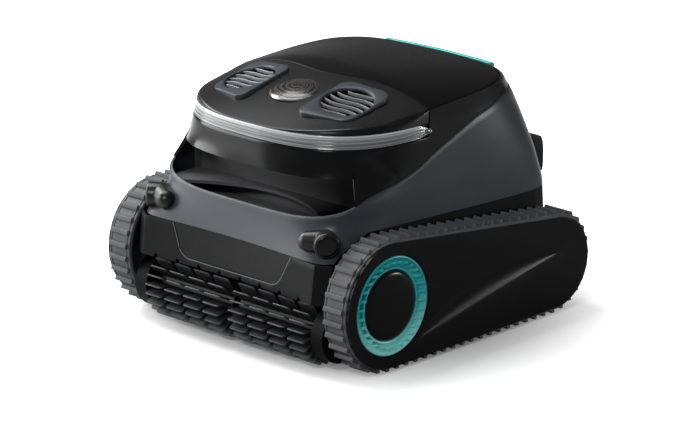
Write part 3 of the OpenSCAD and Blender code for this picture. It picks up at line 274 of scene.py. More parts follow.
def strip_finish():
    """Clear strip with dark and bright lines along it, painted reflections in the clear plastic, and a
    painted highlight along its top edge.
    """
    f = Finish("clear_band", IOR=1.46, Coat_Weight=0.3, Coat_Roughness=0.06)
    up = (f.axis("Z") - strip_low * K) / ((strip_high - strip_low) * K)
    # Painted reflections: bands of light and dark up the clear strip, with a painted highlight at its top.
    lines = f.ramp(up, (0.0, (0.6, 0.61, 0.63)), (0.06, (0.14, 0.142, 0.146)),
                   (0.22, (0.34, 0.344, 0.35)), (0.27, (0.10, 0.102, 0.106)),
                   (0.42, (0.22, 0.222, 0.228)), (0.47, (0.50, 0.505, 0.515)),
                   (0.52, (0.2, 0.202, 0.208)), (0.70, (0.34, 0.344, 0.35)),
                   (0.76, (0.62, 0.63, 0.645)), (0.82, (0.36, 0.364, 0.37)),
                   (0.9, (0.85, 0.86, 0.87)), (1.0, (0.95, 0.96, 0.97)))
    streak = f.noise(60.0, 2.0, place=f.stretch(0.3, 0.3, 12.0))
    f.set("Base_Color", f.mix(streak * 0.25, lines, (0.22, 0.23, 0.24)))
    f.set("Roughness", 0.16 + streak * 0.12)
    f.bump(f.add("ShaderNodeTexWave", {"bands_direction": "Z"}, {"Vector": f.place, "Scale": 95.0}),
           0.25, 0.0005)
    return f.material


def lens_finish():
    """Mirrored lens with uneven rings round its middle."""
    f = Finish("lens_mirror", Metallic=0.5, Coat_Weight=0.25, Coat_Roughness=0.05)
    from_middle = f.add("ShaderNodeMapping", None, {
        "Vector": f.place, "Location": (0.0, -lens_y * K * 1.2, 0.0), "Scale": (1.0, 1.2, 0.0)})
    warp = f.noise(28.0, 2.0, distortion=0.6)
    reach = f.add("ShaderNodeVectorMath", {"operation": "LENGTH"}, {0: from_middle}, out="Value")
    rings = f.add("ShaderNodeMath", {"operation": "SINE"}, {0: (reach + warp * 0.006) * 900.0})
    cloud = f.noise(34.0, 3.0, distortion=1.2)
    tone = f.ramp(rings * 0.22 + cloud, (0.28, (0.008, 0.0075, 0.0075)), (0.45, (0.022, 0.019, 0.018)),
                  (0.62, (0.12, 0.108, 0.10)), (0.8, (0.012, 0.011, 0.011)))
    rim = f.fade(reach, 0.031, 0.036, 0.0, 0.6)
    f.set("Base_Color", f.mix(rim, tone, (0.2, 0.19, 0.18)))
    f.set("Roughness", 0.2 + cloud * 0.12)
    return f.material


def steel_finish():
    """Ground steel with fine lines."""
    f = Finish("ground_steel", Metallic=1.0)
    lines = f.noise(90.0, 3.0, place=f.stretch(1.0, 14.0, 14.0))
    f.set("Base_Color", f.mix(lines, (0.42, 0.43, 0.44), (0.62, 0.63, 0.64)))
    f.set("Roughness", 0.25 + lines * 0.15)
    return f.material


def cloth_finish():
    """Woven filter cloth."""
    f = Finish("filter_cloth", Sheen_Weight=0.2)
    weave = f.add("ShaderNodeTexWave", {"bands_direction": "Z"}, {"Vector": f.place, "Scale": 320.0}) \
        * f.add("ShaderNodeTexWave", {"bands_direction": "DIAGONAL"}, {"Vector": f.place, "Scale": 320.0})
    f.set("Base_Color", f.mix(weave, (0.24, 0.25, 0.26), (0.55, 0.56, 0.57)))
    f.set("Roughness", 0.7 + weave * 0.2)
    f.bump(weave, 0.4, 0.0003)
    return f.material


tray_grey = tray_finish()
tread = tread_finish()
brush_rubber = brush_finish()
ring_teal = ring_finish()
clear_band = strip_finish()
lens_mirror = lens_finish()
steel = steel_finish()
filter_cloth = cloth_finish()

# ------------------------------------------------------------------ body shape

# share of the height, narrowing, reach past the front axle, reach past the rear axle,
# corner power of the front, corner power of the rear, depth of the front's scoop
BODY = [
    (0.00, 0, 67, 53, 11, 8, 8), (0.14, 0.5, 53, 49, 6.5, 8, 2.5), (0.23, 1, 46, 44, 5.5, 7.8, 0),
    (0.33, 1.5, 45.3, 39, 5.9, 7.4, 0), (0.38, 2, 45, 36.5, 4.8, 7.2, 0),
    (0.44, 2.5, 43.5, 33, 3.9, 6.8, 0), (0.50, 3, 42, 29.5, 3.2, 6.4, 0),
    (0.68, 5, 37, 22, 2.85, 5.1, 0), (0.77, 6, 35, 17.6, 2.7, 4.6, 0),
    (0.81, 6.2, 34, 14.6, 2.7, 4.4, 0), (0.87, 6.5, 33, 6, 2.7, 4.4, 0),
    (0.93, 7, 32, -1, 2.7, 4.4, 0), (1.00, 8, 30, -8, 2.7, 4.4, 0)]
# distance behind the front axle, height over the light strip
CREST = [(-35, 0), (0, 1.7), (40, 4.6), (75, 9.8), (110, 15.3), (145, 17.8), (180, 19.6),
         (215, 20.9), (250, 21.6), (330, 21.6)]
# distance behind the front axle, height over the bumper's lip
SWEEP = [(-46, 0), (-37, 4.5), (-10, 17), (5, 25), (30, 31.5), (60, 38), (89, 47), (118, 60),
         (149, 71), (180, 82), (203, 89), (225, 93), (250, 98), (330, 108)]


def through(table, x, k=1):
    """Smooth value at x through a table's rows, level beyond its ends."""
    if x <= table[0][0]:
        return table[0][k]
    if x >= table[-1][0]:
        return table[-1][k]
    i = max(j for j in range(len(table) - 1) if table[j][0] <= x)

    def slope(j):
        a, b = table[max(j - 1, 0)], table[min(j + 1, len(table) - 1)]
        return (b[k] - a[k]) / (b[0] - a[0])

    h = table[i + 1][0] - table[i][0]
    t = (x - table[i][0]) / h
    return ((2 * t ** 3 - 3 * t * t + 1) * table[i][k] + (t ** 3 - 2 * t * t + t) * h * slope(i)
            + (3 * t * t - 2 * t ** 3) * table[i + 1][k] + (t ** 3 - t * t) * h * slope(i + 1))


def body_col(z, k):
    """Value of a BODY column at height z."""
    return through(BODY, (z - lower_edge) / (crown_height - lower_edge), k)


def arc(x, y, radius, angles, rise=None):
    """Points at the given angles of a circle about (x, y), or of an ellipse with another rise."""
    rise = radius if rise is None else rise
    return [(x + radius * math.cos(math.radians(a)), y + rise * math.sin(math.radians(a))) for a in angles]


def body_point(s, p, z, t=0.0):
    """Point of the body at height z and turn p (-90 front, 90 rear), moved in by t."""
    front = p < 0
    n = body_col(z, 4 if front else 5)
    c, q = max(math.cos(math.radians(p)), 0), abs(math.sin(math.radians(p)))
    r = (c ** n + q ** n) ** (-1 / n)
    c, q = r * c, r * q
    reach = middle - front_axle + body_col(z, 2) if front else rear_axle + body_col(z, 3) - middle
    x = (half_width - body_col(z, 1) - t) * c
    scoop = body_col(z, 6) * max(0, 1 - (x / recess_half) ** 2) if front else 0
    return (s * x, middle + (-1 if front else 1) * (reach - t) * q + scoop, z)


def ridge(y):
    """Height of the crown along the middle of the body."""
    peak = front_axle + 131.6
    if y < peak:
        low = front_axle - body_col(strip_high, 2)
        return crown_height - (crown_height - strip_high - 0.5) * (max(peak - y, 0) / (peak - low)) ** 1.52
    return crown_height - 10.3 * ((y - peak) / (rear_of_lid - peak)) ** 1.37


def crown(x, y):
    """Height of the body's top at (x, y)."""
    crest = strip_high + 0.5 + through(CREST, y - front_axle)
    return ridge(y) - (ridge(y) - crest) * (abs(x) / 153.0) ** 2.43


def lid_point(s, p, g=0.0):
    """Point of the lid's outline, moved out by g."""
    c, q = max(math.cos(math.radians(p)), 0), abs(math.sin(math.radians(p)))
    r = (c ** 4.4 + q ** 4.4) ** (-1 / 4.4)
    return (s * (153 + g) * r * c, middle + (rear_of_lid + g - middle) * r * q)


def lid_edge(p):
    return crown(*lid_point(1, p))


def sweep(y):
    """Height of the bumper's swept upper edge."""
    return lip_height + through(SWEEP, y - front_axle)


def seam(x):
    """Line where the top panel and the lid meet."""
    return middle - 8 - 8 * math.cos(math.radians(min(abs(x) / 105, 1) * 180))


def bumper_top(p):
    return sweep(body_point(1, p, 205)[1])


def bumper_low(p):
    if p < -43:
        return lower_edge
    y = body_point(1, p, 150)[1] - front_axle
    return lower_edge + (27 * min(max((y + 50) / 50, 0), 1) if y < 0 else 27 - 13 * min(y / 304, 1))


def spread(a, b, n):
    """n values at even steps from a to b."""
    return [a + (b - a) * i / (n - 1) for i in range(n)]


def both(turns):
    """Side and turn of each column, round the front from the left to the right."""
    return [(-1, p) for p in reversed(turns) if p > -90] + [(1, p) for p in turns]


def round_rear(turns):
    """Side and turn of each column, round the rear from the right to the left."""
    return [(1, p) for p in turns] + [(-1, p) for p in reversed(turns) if p < 90]

# ------------------------------------------------------------------ mesh making


def dress(obj, body, material, replaces=(), sharp=35):
    """Gives a finished piece its material, shading and body."""
    mesh = obj.data
    if material is not None:
        mesh.materials.clear()
        mesh.materials.append(material)
    mesh.shade_smooth()
    if sharp:
        mesh.set_sharp_from_angle(angle=math.radians(sharp))
    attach(obj, body)
    for node in replaces:
        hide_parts(node)
    return obj


def linked(name, data):
    """Object in the scene for a mesh, a light or a camera."""
    obj = bpy.data.objects.new(name, data)
    bpy.context.scene.collection.objects.link(obj)
    return obj


def finished(name, work):
    """Object from the mesh that a function has been working on."""
    mesh = bpy.data.meshes.new(name)
    work.to_mesh(mesh)
    work.free()
    return linked(name, mesh)


def solid(name, points, faces):
    """Object from points in mm and the faces between them."""
    mesh = bpy.data.meshes.new(name)
    mesh.from_pydata([tuple(c * K for c in p) for p in points], [], faces)
    mesh.validate()
    return linked(name, mesh)


def tidy(obj, gap=0.00002):
    """Merges doubled points and turns the faces outwards."""
    work = bmesh.new()
    work.from_mesh(obj.data)
    bmesh.ops.remove_doubles(work, verts=work.verts, dist=gap)
    bmesh.ops.dissolve_degenerate(work, dist=gap / 4, edges=work.edges)
    bmesh.ops.recalc_face_normals(work, faces=work.faces)
    work.to_mesh(obj.data)
    work.free()
    return obj


def skin(name, columns, ring=False):
    """Closed solid from columns that each run once round the wall's section."""
    n, m = len(columns), len(columns[0])
    points = [p for column in columns for p in column]
    faces = []
    for i in range(n if ring else n - 1):
        k = (i + 1) % n
        faces += [(i * m + j, i * m + (j + 1) % m, k * m + (j + 1) % m, k * m + j) for j in range(m)]
    if not ring:
        faces.append(tuple(range(m - 1, -1, -1)))
        faces.append(tuple(range((n - 1) * m, n * m)))
    return tidy(solid(name, points, faces))


def soften(obj, width, segments=3, angle=35):
    """Rounds an object's sharp edges and makes the result its mesh."""
    bevel = obj.modifiers.new("edge_round", "BEVEL")
    bevel.width, bevel.segments = width * K, segments
    bevel.limit_method, bevel.angle_limit = "ANGLE", math.radians(angle)
    bevel.harden_normals = False
    return bake(obj)


def bake(obj):
    """Applies an object's modifiers."""
    graph = bpy.context.evaluated_depsgraph_get()
    mesh = bpy.data.meshes.new_from_object(obj.evaluated_get(graph))
    obj.modifiers.clear()
    old = obj.data
    obj.data = mesh
    bpy.data.meshes.remove(old)
    mesh.name = obj.name
    return obj


def cut(obj, *tools, operation="DIFFERENCE"):
    """Takes the tools' volume out of an object, or keeps only that, and removes the tools."""
    for tool in tools:
        hole = obj.modifiers.new("hole", "BOOLEAN")
        hole.operation, hole.solver, hole.object = operation, "EXACT", tool
    bake(obj)
    for tool in tools:
        bpy.data.objects.remove(tool)
    return obj


def along_x(name, outline, x0, x1, holes=()):
    """Plate between x0 and x1 with an outline of (y, z) points and holes."""
    work = bmesh.new()
    loops = []
    for loop in (outline, *holes):
        verts = [work.verts.new((x0 * K, y * K, z * K)) for y, z in loop]
        loops += [work.edges.new((verts[i - 1], verts[i])) for i in range(len(verts))]
    bmesh.ops.triangle_fill(work, edges=loops, use_beauty=True)
    made = bmesh.ops.extrude_face_region(work, geom=list(work.faces))
    for item in made["geom"]:
        if isinstance(item, bmesh.types.BMVert):
            item.co.x = x1 * K
    bmesh.ops.recalc_face_normals(work, faces=work.faces)
    bmesh.ops.dissolve_limit(work, angle_limit=0.001, verts=work.verts, edges=work.edges)
    return finished(name, work)


def join(name, *objects):
    """One object from several, which are removed."""
    work = bmesh.new()
    for obj in objects:
        work.from_mesh(obj.data)
        old = obj.data
        bpy.data.objects.remove(obj)
        bpy.data.meshes.remove(old)
    return finished(name, work)


def shift(x, y, z):
    """Matrix of a move in mm."""
    return Matrix.Translation(Vector((x, y, z)) * K)


def turn(degrees, axis):
    return Matrix.Rotation(math.radians(degrees), 4, axis)


def moved(obj, matrix):
    """Moves the points of an object, which itself stays at the origin."""
    obj.data.transform(matrix)
    if matrix.determinant() < 0:
        obj.data.flip_normals()
    return obj


def to_side(side, *objects):
    """Mirrors pieces made for the right side when the left one is wanted."""
    if side == "l":
        for obj in objects:
            moved(obj, Matrix.Scale(-1, 4, Vector((1, 0, 0))))


class Repeat(Graph):
    """Geometry node tree with named sizes."""

    def __init__(self, name, **sizes):
        super().__init__(bpy.data.node_groups.new(name, "GeometryNodeTree"))
        self.tree.interface.new_socket("Geometry", in_out="OUTPUT",
                                       socket_type="NodeSocketGeometry")
        self.sizes = {}
        for label, value in sizes.items():
            kind = ("NodeSocketObject" if isinstance(value, bpy.types.Object)
                    else "NodeSocketInt" if isinstance(value, int)
                    else "NodeSocketMaterial" if isinstance(value, bpy.types.Material)
                    else "NodeSocketFloat")
            socket = self.tree.interface.new_socket(label, in_out="INPUT", socket_type=kind)
            self.sizes[socket.identifier] = value
        self.start = self.tree.nodes.new("NodeGroupInput")
        self.end = self.tree.nodes.new("NodeGroupOutput")

    def size(self, label):
        return Wire(self, self.start.outputs[label])

    def shape(self, label):
        return self.add("GeometryNodeObjectInfo", None, {0: self.size(label)}, out="Geometry")

    def vector(self, **parts):
        return self.add("ShaderNodeCombineXYZ", None, parts)

    def bar(self, mode, section, radius, start, end):
        """Straight bar between two points, with a rounded four-sided section."""
        outline = self.add("GeometryNodeCurvePrimitiveQuadrilateral", {"mode": mode}, section)
        rounded = self.add("GeometryNodeFilletCurve", {"mode": "POLY"}, {
            "Curve": outline, "Count": 3, "Radius": radius})
        line = self.add("GeometryNodeCurvePrimitiveLine", None, {"Start": start, "End": end})
        return self.add("GeometryNodeCurveToMesh", None, {
            "Curve": line, "Profile Curve": rounded, "Fill Caps": True})

    def scatter(self, points, piece, **turned):
        return self.add("GeometryNodeInstanceOnPoints", None, {
            "Points": points, "Instance": piece, **turned})

    def along(self, curve, piece, up):
        """The piece at each point of a curve, turned to run with it."""
        rotation = self.add("FunctionNodeAxesToRotation", {"primary_axis": "X", "secondary_axis": "Z"}, {
            "Primary Axis": self.add("GeometryNodeInputTangent"), "Secondary Axis": up})
        points = self.add("GeometryNodeCurveToPoints", {"mode": "EVALUATED"}, {"Curve": curve})
        return self.scatter(points, piece, Rotation=rotation)

    def grow(self, name, geometry):
        real = self.add("GeometryNodeRealizeInstances", None, {0: geometry})
        dressed = self.add("GeometryNodeSetMaterial", None,
                           {"Geometry": real, "Material": self.size("Finish")})
        self.put(self.end.inputs[0], dressed)
        obj = solid(name, [(0, 0, 0)], [])
        modifier = obj.modifiers.new("repeat", "NODES")
        modifier.node_group = self.tree
        for identifier, value in self.sizes.items():
            modifier[identifier] = value
        return bake(obj)

# ------------------------------------------------------------------ body pieces


def wall_section(s, p, low, high, rows=12):
    """Section of a wall along the body, up outside, over the lip, down inside."""
    lip = ((0, -3.0), (0.25, -2.4), (0.7, -1.8), (1.9, -0.6), (2.4, -0.15), (wall, 0))
    loop = [body_point(s, p, z) for z in spread(low, high + lip[0][1], rows)][:-1]
    loop += [body_point(s, p, high + z, t) for t, z in lip]
    return loop + [body_point(s, p, z, wall) for z in spread(high - 0.4, low, 5)]


def make_bumper():
    """Satin body moulding that runs round the front and down both sides."""
    turns = [-90, -87] + spread(-84, -52, 13) + spread(-50, -34, 15)
    turns += spread(-32, 36, 22) + spread(38, 49, 9)
    columns = [wall_section(s, p, bumper_low(p), bumper_top(p), rows=14) for s, p in both(turns)]
    return dress(skin("body_bumper", columns), "body", satin_body, ["bumper"])


def shell_section(s, p, low):
    """Section of the upper shell: below the light strip at the front, up to the lid behind."""
    if p < 0:
        high = strip_low - 0.3
        loop = [body_point(s, p, z) for z in spread(low, high - 1.2, 12)]
        loop += [body_point(s, p, high + z, t) for t, z in
                 ((0.1, -0.7), (0.35, -0.35), (0.7, -0.1), (1.2, 0), (2.2, 0), (wall, 0))]
        loop += [body_point(s, p, high - z, wall) for z in (0.3, 0.6, 0.9)]
        return loop + [body_point(s, p, z, wall) for z in spread(high - 2, low, 5)]
    rim = lid_edge(p)
    low_edge = rim - 7
    loop = [body_point(s, p, z) for z in spread(low, low_edge, 12)]
    a, c = Vector(loop[-1]), Vector((*lid_point(s, p, 1.0), rim - 0.3))
    b = Vector(body_point(s, p, rim - 0.8))
    for t in spread(0, 1, 7)[1:]:
        loop.append(tuple(a * (1 - t) ** 2 + b * (2 * t * (1 - t)) + c * t * t))
    loop += [(*lid_point(s, p, 0.8), rim - 3.3), (*lid_point(s, p, -3.0), rim - 3.3),
             (*lid_point(s, p, -3.0), rim - 7)]
    return loop + [body_point(s, p, z, wall) for z in spread(low_edge - 3, low, 5)]


def make_shell():
    """Upper shell, which runs all the way round, with a pocket for the lid's hinge."""
    share, power = recess_half / (half_width - 2.5), 3.7
    edge = -math.degrees(math.atan2((1 - share ** power) ** (1 / power), share))
    right = [(p, visor_edge) for p in [-90, -87] + spread(-84, -52, 12) + spread(-50, edge - 0.25, 5)]
    right += [(p, bumper_top(p) + 0.3) for p in
              spread(edge + 0.25, -0.8, 16) + spread(0.4, 34, 14) + spread(36, 60, 19)
              + spread(62, 90, 12)]
    columns = [shell_section(1, p, low) for p, low in right]
    columns += [shell_section(-1, p, low) for p, low in reversed(right) if -90 < p < 90]
    shell = skin("upper_shell_skin", columns, ring=True)
    pocket = [(141.2, 280.7), (155.5, 280.7), (155.5, 304), (141.2, 304)]
    cut(shell, along_x("hinge_pocket", pocket, -71, 71))
    return dress(shell, "body", gloss_black, ["upper_shell"])


def cap_point(x, y, centre, inset, drop):
    """Point on the crown, inset mm in from an outline point and drop mm down."""
    t = 1 - inset / math.hypot(x - centre[0], y - centre[1])
    px, py = centre[0] + (x - centre[0]) * t, centre[1] + (y - centre[1]) * t
    return (px, py, crown(px, py) - drop)


def cap_section(x, y, centre, side, radius=0.8):
    """Section of a cap from its middle over a rounded edge, down the side and back."""
    d = math.hypot(x - centre[0], y - centre[1])
    loop = [cap_point(x, y, centre, d * (1 - u), 0) for u in [0, 0.06] + spread(0.13, 0.92, 12) + [0.96]]
    for a in (0, 22, 45, 67, 90):
        loop.append(cap_point(x, y, centre, radius * (1 - math.sin(math.radians(a))),
                              radius * (1 - math.cos(math.radians(a)))))
    return loop + side + [cap_point(x, y, centre, d * (1 - u), 3.0) for u in (0.9, 0.5, 0.0)]


def cap_joint(x, y, centre):
    """Section of a cap at its joint, where a short side runs down from the crown."""
    return cap_section(x, y, centre, [(x, y, crown(x, y) - d) for d in (1.6, 2.4, 3.0)])


def make_lid():
    """Lid that follows the crown behind the seam."""
    outline = [lid_point(1, p) for p in spread(0.3, 30, 14) + spread(32, 62, 26) + spread(64, 90, 14)]
    outline += [(-x, y) for x, y in reversed(outline) if x > 0.01]
    edge = outline[0][0]
    outline += [(x, seam(x) + 0.3) for x in spread(-edge, edge, 60)[1:-1]]
    columns = [cap_joint(x, y, (0.0, 48.0)) for x, y in outline]
    return dress(skin("lid_skin", columns, ring=True), "lid", lid_black, ["lid"])


def make_top_panel():
    """Panel before the seam, rounded down to the light strip, with two jet openings."""
    centre = (0.0, -92.0)
    turns = [-90] + spread(-86, -50, 14) + spread(-47, -1.2, 26)

    def front_column(s, p):
        x, y = body_point(s, p, strip_high + 6)[:2]
        x, y = body_point(s, p, crown(x, y))[:2]
        z = crown(x, y)
        low = strip_high + 0.3
        radius = max(0.1, min(2.2 + 7 * min(max(-p - 3, 0) / 12, 1), (z - low) * 0.8))
        side = [body_point(s, p, z - radius + (low - z + radius) * u) for u in (0.33, 0.66, 1.0)]
        return cap_section(x, y, centre, side, radius)

    columns = [front_column(1, p) for p in turns]
    edge = body_point(1, 0, 283)[0] - 0.1
    columns += [cap_joint(x, seam(x) - 0.3, centre) for x in spread(edge, -edge, 70)]
    columns += [front_column(-1, p) for p in reversed(turns[1:])]
    panel = skin("top_panel_skin", columns, ring=True)
    bore = [(0, -12), (30.4, -12), (30.4, 14), (0, 14)]
    cut(panel, *[spun("jet_bore", bore, crown_frame(s * jet_x, jet_y)) for s in (1, -1)])
    return dress(panel, "body", top_black, ["top_panel"], 28)


def crown_frame(x, y):
    """Place and tilt of a piece that sits on the crown."""
    h = 6
    dx = (crown(x + h, y) - crown(x - h, y)) / (2 * h)
    dy = (crown(x, y + h) - crown(x, y - h)) / (2 * h)
    return (shift(x, y, crown(x, y)) @ Matrix.Rotation(-math.atan(dx), 4, "Y")
            @ Matrix.Rotation(math.atan(dy), 4, "X"))


def spun(name, profile, matrix=None, count=96):
    """Solid of revolution about its own Z axis, then put in place. Profile is (radius, height)."""
    turns = [2 * math.pi * i / count for i in range(count)]
    obj = skin(name, [[(r * math.cos(a), r * math.sin(a), h) for r, h in profile] for a in turns], ring=True)
    return moved(obj, matrix) if matrix else obj


def resample(loop, count):
    """Evenly spaced points along a closed loop."""
    closed = loop + [loop[0]]
    lengths = [math.dist(closed[i], closed[i + 1]) for i in range(len(loop))]
    total, result, i, gone = sum(lengths), [], 0, 0.0
    for k in range(count):
        want = total * k / count
        while gone + lengths[i] < want:
            gone += lengths[i]
            i += 1
        t = (want - gone) / lengths[i]
        result.append(tuple(a + (b - a) * t for a, b in zip(closed[i], closed[i + 1])))
    return result


def bezel_outline():
    loop = []
    for x, y, radius, start in ((16, 28, 17, 0), (-21, 24, 16, 90), (-23, -39, 12, 180), (15, -21, 18, 270)):
        loop += arc(x, y, radius, spread(start, start + 90, 13))
    return loop


def make_jet(side):
    """Frame of a jet opening with its curved fins."""
    columns = []
    for x, y in resample(bezel_outline(), 168):
        d = math.hypot(x, y)
        column = [(x - x / d * inset, y - y / d * inset, w) for inset, w in
                  ((0, -7), (0, -2), (0, 0.6), (0.25, 1.4), (0.8, 2.0), (1.6, 2.25))]
        column += [(x / d * (jet_opening + r), y / d * (jet_opening + r), w) for r, w in
                   ((2.4, 2.1), (1.2, 1.8), (0.4, 1.1), (0, 0), (0, -7))]
        columns.append(column)
    frame_piece = skin("jet_frame_" + side, columns, ring=True)
    section = ((-0.8, -4.0), (0.8, -4.0), (0.75, -0.6), (0.5, -0.1), (0, 0.1), (-0.5, -0.1), (-0.75, -0.6))
    bars = []
    for k in range(6):
        offset = (k - 2.5) * jet_opening * 0.31
        reach = math.sqrt(max((jet_opening + 0.6) ** 2 - (abs(offset) + 1.5) ** 2, 1))
        run = []
        for x in spread(-reach, reach, 28):
            mid = offset + 3.0 * math.sin(math.radians(x * 5))
            run.append([(x, mid + dy, w) for dy, w in section])
        bars.append(skin("bar", run))
    fins = join("jet_fins_" + side, *bars)
    for piece in (frame_piece, fins):
        moved(piece, crown_frame(jet_x, jet_y))
    to_side(side, frame_piece, fins)
    dress(frame_piece, "body", satin_body, ["jet_grille_" + side], 50)
    dress(fins, "body", fin_grey, [], 50)


def make_light_band():
    """Clear strip round the front."""
    turns = [-90] + spread(-86, -50, 16) + spread(-48, -8, 30) + spread(-6.5, -0.9, 7)
    columns = []
    for s, p in both(turns):
        end = max(0.0, (p + 6.5) / 5.6)
        low, high = strip_low + 0.1 + 3.2 * end, strip_high - 0.1 - 5.2 * end
        rows = spread(low + 0.3, high - 1.4, 12)
        loop = [body_point(s, p, low, 0.5)]
        loop += [body_point(s, p, z, 0.18 - 0.18 * math.cos(i * math.pi * 2 / 3)) for i, z in enumerate(rows)]
        loop += [body_point(s, p, high - 0.5, 0.5), body_point(s, p, high, 1.3),
                 body_point(s, p, high, 2.4), body_point(s, p, low, 2.4)]
        columns.append(loop)
    dress(skin("light_band", columns), "body", clear_band, ["light_strip"], 30)


def make_band_seat():
    """Dark wall behind the clear strip."""
    columns = []
    for s, p in both([-90] + spread(-84, -0.4, 40)):
        columns.append([body_point(s, p, strip_low - 1, 2.6), body_point(s, p, strip_high + 0.5, 2.6),
                        body_point(s, p, strip_high + 0.5, 5), body_point(s, p, strip_low - 1, 5)])
    dress(skin("light_band_seat", columns), "body", frame_black)


def make_band_ends():
    """Steel end of the clear strip at each side."""
    for s, side in ((1, "r"), (-1, "l")):
        at = shift(*body_point(s, -0.9, 259.0, -0.4)) @ turn(90 * s, "Y")
        profile = [(0, -3), (1.6, -3), (1.6, -1.2)]
        profile += arc(0, 1.2, 3.0, (-56, -40, -20, 0, 20, 40, 60, 78)) + [(0, 4.2)]
        dress(spun("band_end_" + side, profile, at, 40), "body", steel)


def panel_face(x, z):
    """Distance along y of the front panel's face at (x, z)."""
    u = (lower_edge - z) / 47.0
    w = min(abs(x) / recess_half, 1)
    corner = max(0, abs(x) - recess_half) * 0.62
    return front_axle - (59 + 7 * u + 9 * w * w) + corner


def window_outline(grow=0.0):
    """Outline of the window as (x, z), with two rounded lower corners."""
    loop = [(96 + grow, 136 + grow), (-96 - grow, 136 + grow), (-98 - grow, 132)]
    loop += arc(-66, 115, 22 + grow, range(196, 271, 6)) + arc(66, 115, 22 + grow, range(270, 345, 6))
    return loop + [(98 + grow, 132)]


def panel_sheet(name, xs, low, high, front, back):
    """Sheet that follows the front panel's face between two distances behind it."""
    columns = []
    for x in xs:
        loop = [(x, panel_face(x, z) + front, z) for z in spread(low, high, 7)]
        loop += [(x, panel_face(x, z) + back, z) for z in spread(high, low, 7)]
        columns.append(loop)
    return skin(name, columns)


def between(name, near, far):
    """Solid between two loops with the same number of points."""
    n = len(near)
    faces = [tuple(range(n)), tuple(range(2 * n - 1, n - 1, -1))]
    faces += [(i, i + n, (i + 1) % n + n, (i + 1) % n) for i in range(n)]
    return tidy(solid(name, near + far, faces))


def through_front(loop):
    """Tool with an (x, z) outline that goes right through the front panel."""
    return between("tool", [(x, -260, z) for x, z in loop], [(x, -160, z) for x, z in loop])


def make_front_panel():
    """Front panel with the window's opening and a comb of slots along its lower edge."""
    xs = [-158, -155, -149] + spread(-141, 141, 61) + [149, 155, 158]
    panel = panel_sheet("front_panel_skin", xs, panel_low, 132.7, 0, 3)
    cut(panel, through_front(window_outline()))
    for x in spread(-119, 119, 8):
        cut(panel, through_front([(x - 3.2, 84), (x + 3.2, 84), (x + 2.4, 89.6), (x - 2.4, 89.6)]))
    soften(panel, 0.5, 2, 28)
    dress(panel, "body", panel_black, ["front_panel"], 24)


def make_window():
    """Smoked window, and a thin pale line along its edge that is a painted highlight on the window's lip."""
    window = panel_sheet("window_pane", spread(-101, 101, 50), panel_low, 132.6, 0.9, 3.6)
    cut(window, through_front(window_outline(-0.3)), operation="INTERSECT")
    dress(window, "body", window_smoke, ["front_window"], 24)
    # Pale strip along the window's edge below its top: a painted highlight on the lip.
    line = []
    for (x, z), (u, w) in zip(window_outline(0.1), window_outline(-0.55)):
        if z < 132.3:
            line.append([(x, panel_face(x, z) + 0.6, z), (x, panel_face(x, z) - 0.1, z),
                         (u, panel_face(u, w) - 0.1, w), (u, panel_face(u, w) + 0.6, w)])
    dress(skin("window_edge", line), "body", painted_edge_highlight)


def make_pod(side):
    """Corner sensor: a barrel with a rounded lobe behind it and a glossy face."""
    place = shift(136, front_axle - 45.5, 154)
    aim = place @ turn(52, "Z") @ turn(90, "X")
    profile = [(0, -12), (7, -12), (10, -11), (12.4, -9), (14.0, -6), (14.8, -2), (15.3, 6), (15.5, 13.8)]
    profile += arc(12.9, 13.8, 2.6, (20, 40, 60, 78), 3.4)
    profile += [(12.6, 17.4), (12.3, 17.6), (12.1, 17.5), (12.0, 15.5), (0, 15.5)]
    barrel = spun("pod_barrel", profile, aim)
    across, along = 10, 18
    d, near, far = math.hypot(along, across), 14.8, 12.0
    tail = [(0, -near)] + arc(0, 0, near, range(-80, 11, 10))
    tail += arc(0, d, far, range(10, 81, 10)) + [(0, d + far)]
    back = Matrix.Rotation(math.atan2(-across, -along), 4, "Z")
    lobe = spun("pod_lobe", tail, place @ back @ turn(90, "Y"), 72)
    pod = join("corner_pod_" + side, barrel, lobe)
    face = spun("pod_face_" + side, [(0, 14.8), (11.8, 14.8), (11.8, 16.8), (11.2, 17.3), (9.4, 17.45),
                                     (6, 17.6), (3, 17.7), (0, 17.7)], aim, 72)
    to_side(side, pod, face)
    dress(pod, "body", pod_black, ["corner_sensor_" + side], 40)
    dress(face, "body", gloss_black, ["sensor_lens_" + side], 40)


def make_lens():
    """Oval lens and the rim round it, both bent to the top panel."""
    half_x, half_y, bend = 38.0, 33.5, 520
    at = shift(0, lens_y, crown(0, lens_y)) @ Matrix.Rotation(math.atan(0.2), 4, "X")
    dome = [(0.0, 4.4), (0.12, 4.35), (0.25, 4.2), (0.4, 3.85), (0.55, 3.3), (0.7, 2.5), (0.82, 1.6),
            (0.9, 0.7), (0.94, -0.6), (0.94, -7), (0.0, -7)]
    rim = [(0.945, -7), (0.945, 0.1), (0.955, 0.9), (0.97, 1.2), (0.985, 1.1), (1.0, 0.5), (1.0, -7)]
    for name, rows, material, slot, nodes in (
            ("lens_dome", dome, lens_mirror, "lens_mirror", ["top_lens"]),
            ("lens_rim", rim, frame_black, "black_matte", [])):
        columns = []
        for a in [2 * math.pi * i / 96 for i in range(96)]:
            oval = [(half_x * t * math.cos(a), half_y * t * math.sin(a), h) for t, h in rows]
            columns.append([(x, y, h - (x * x + y * y) / bend) for x, y, h in oval])
        dress(moved(skin(name, columns, ring=True), at), "body", material, nodes, 40)


def make_rear_panel():
    columns = [wall_section(s, p, 116, bumper_top(p) - 0.3) for s, p in
               round_rear([49.3, 50] + spread(52, 88, 16) + [90])]
    dress(skin("rear_panel_skin", columns), "body", panel_black, ["rear_panel"])


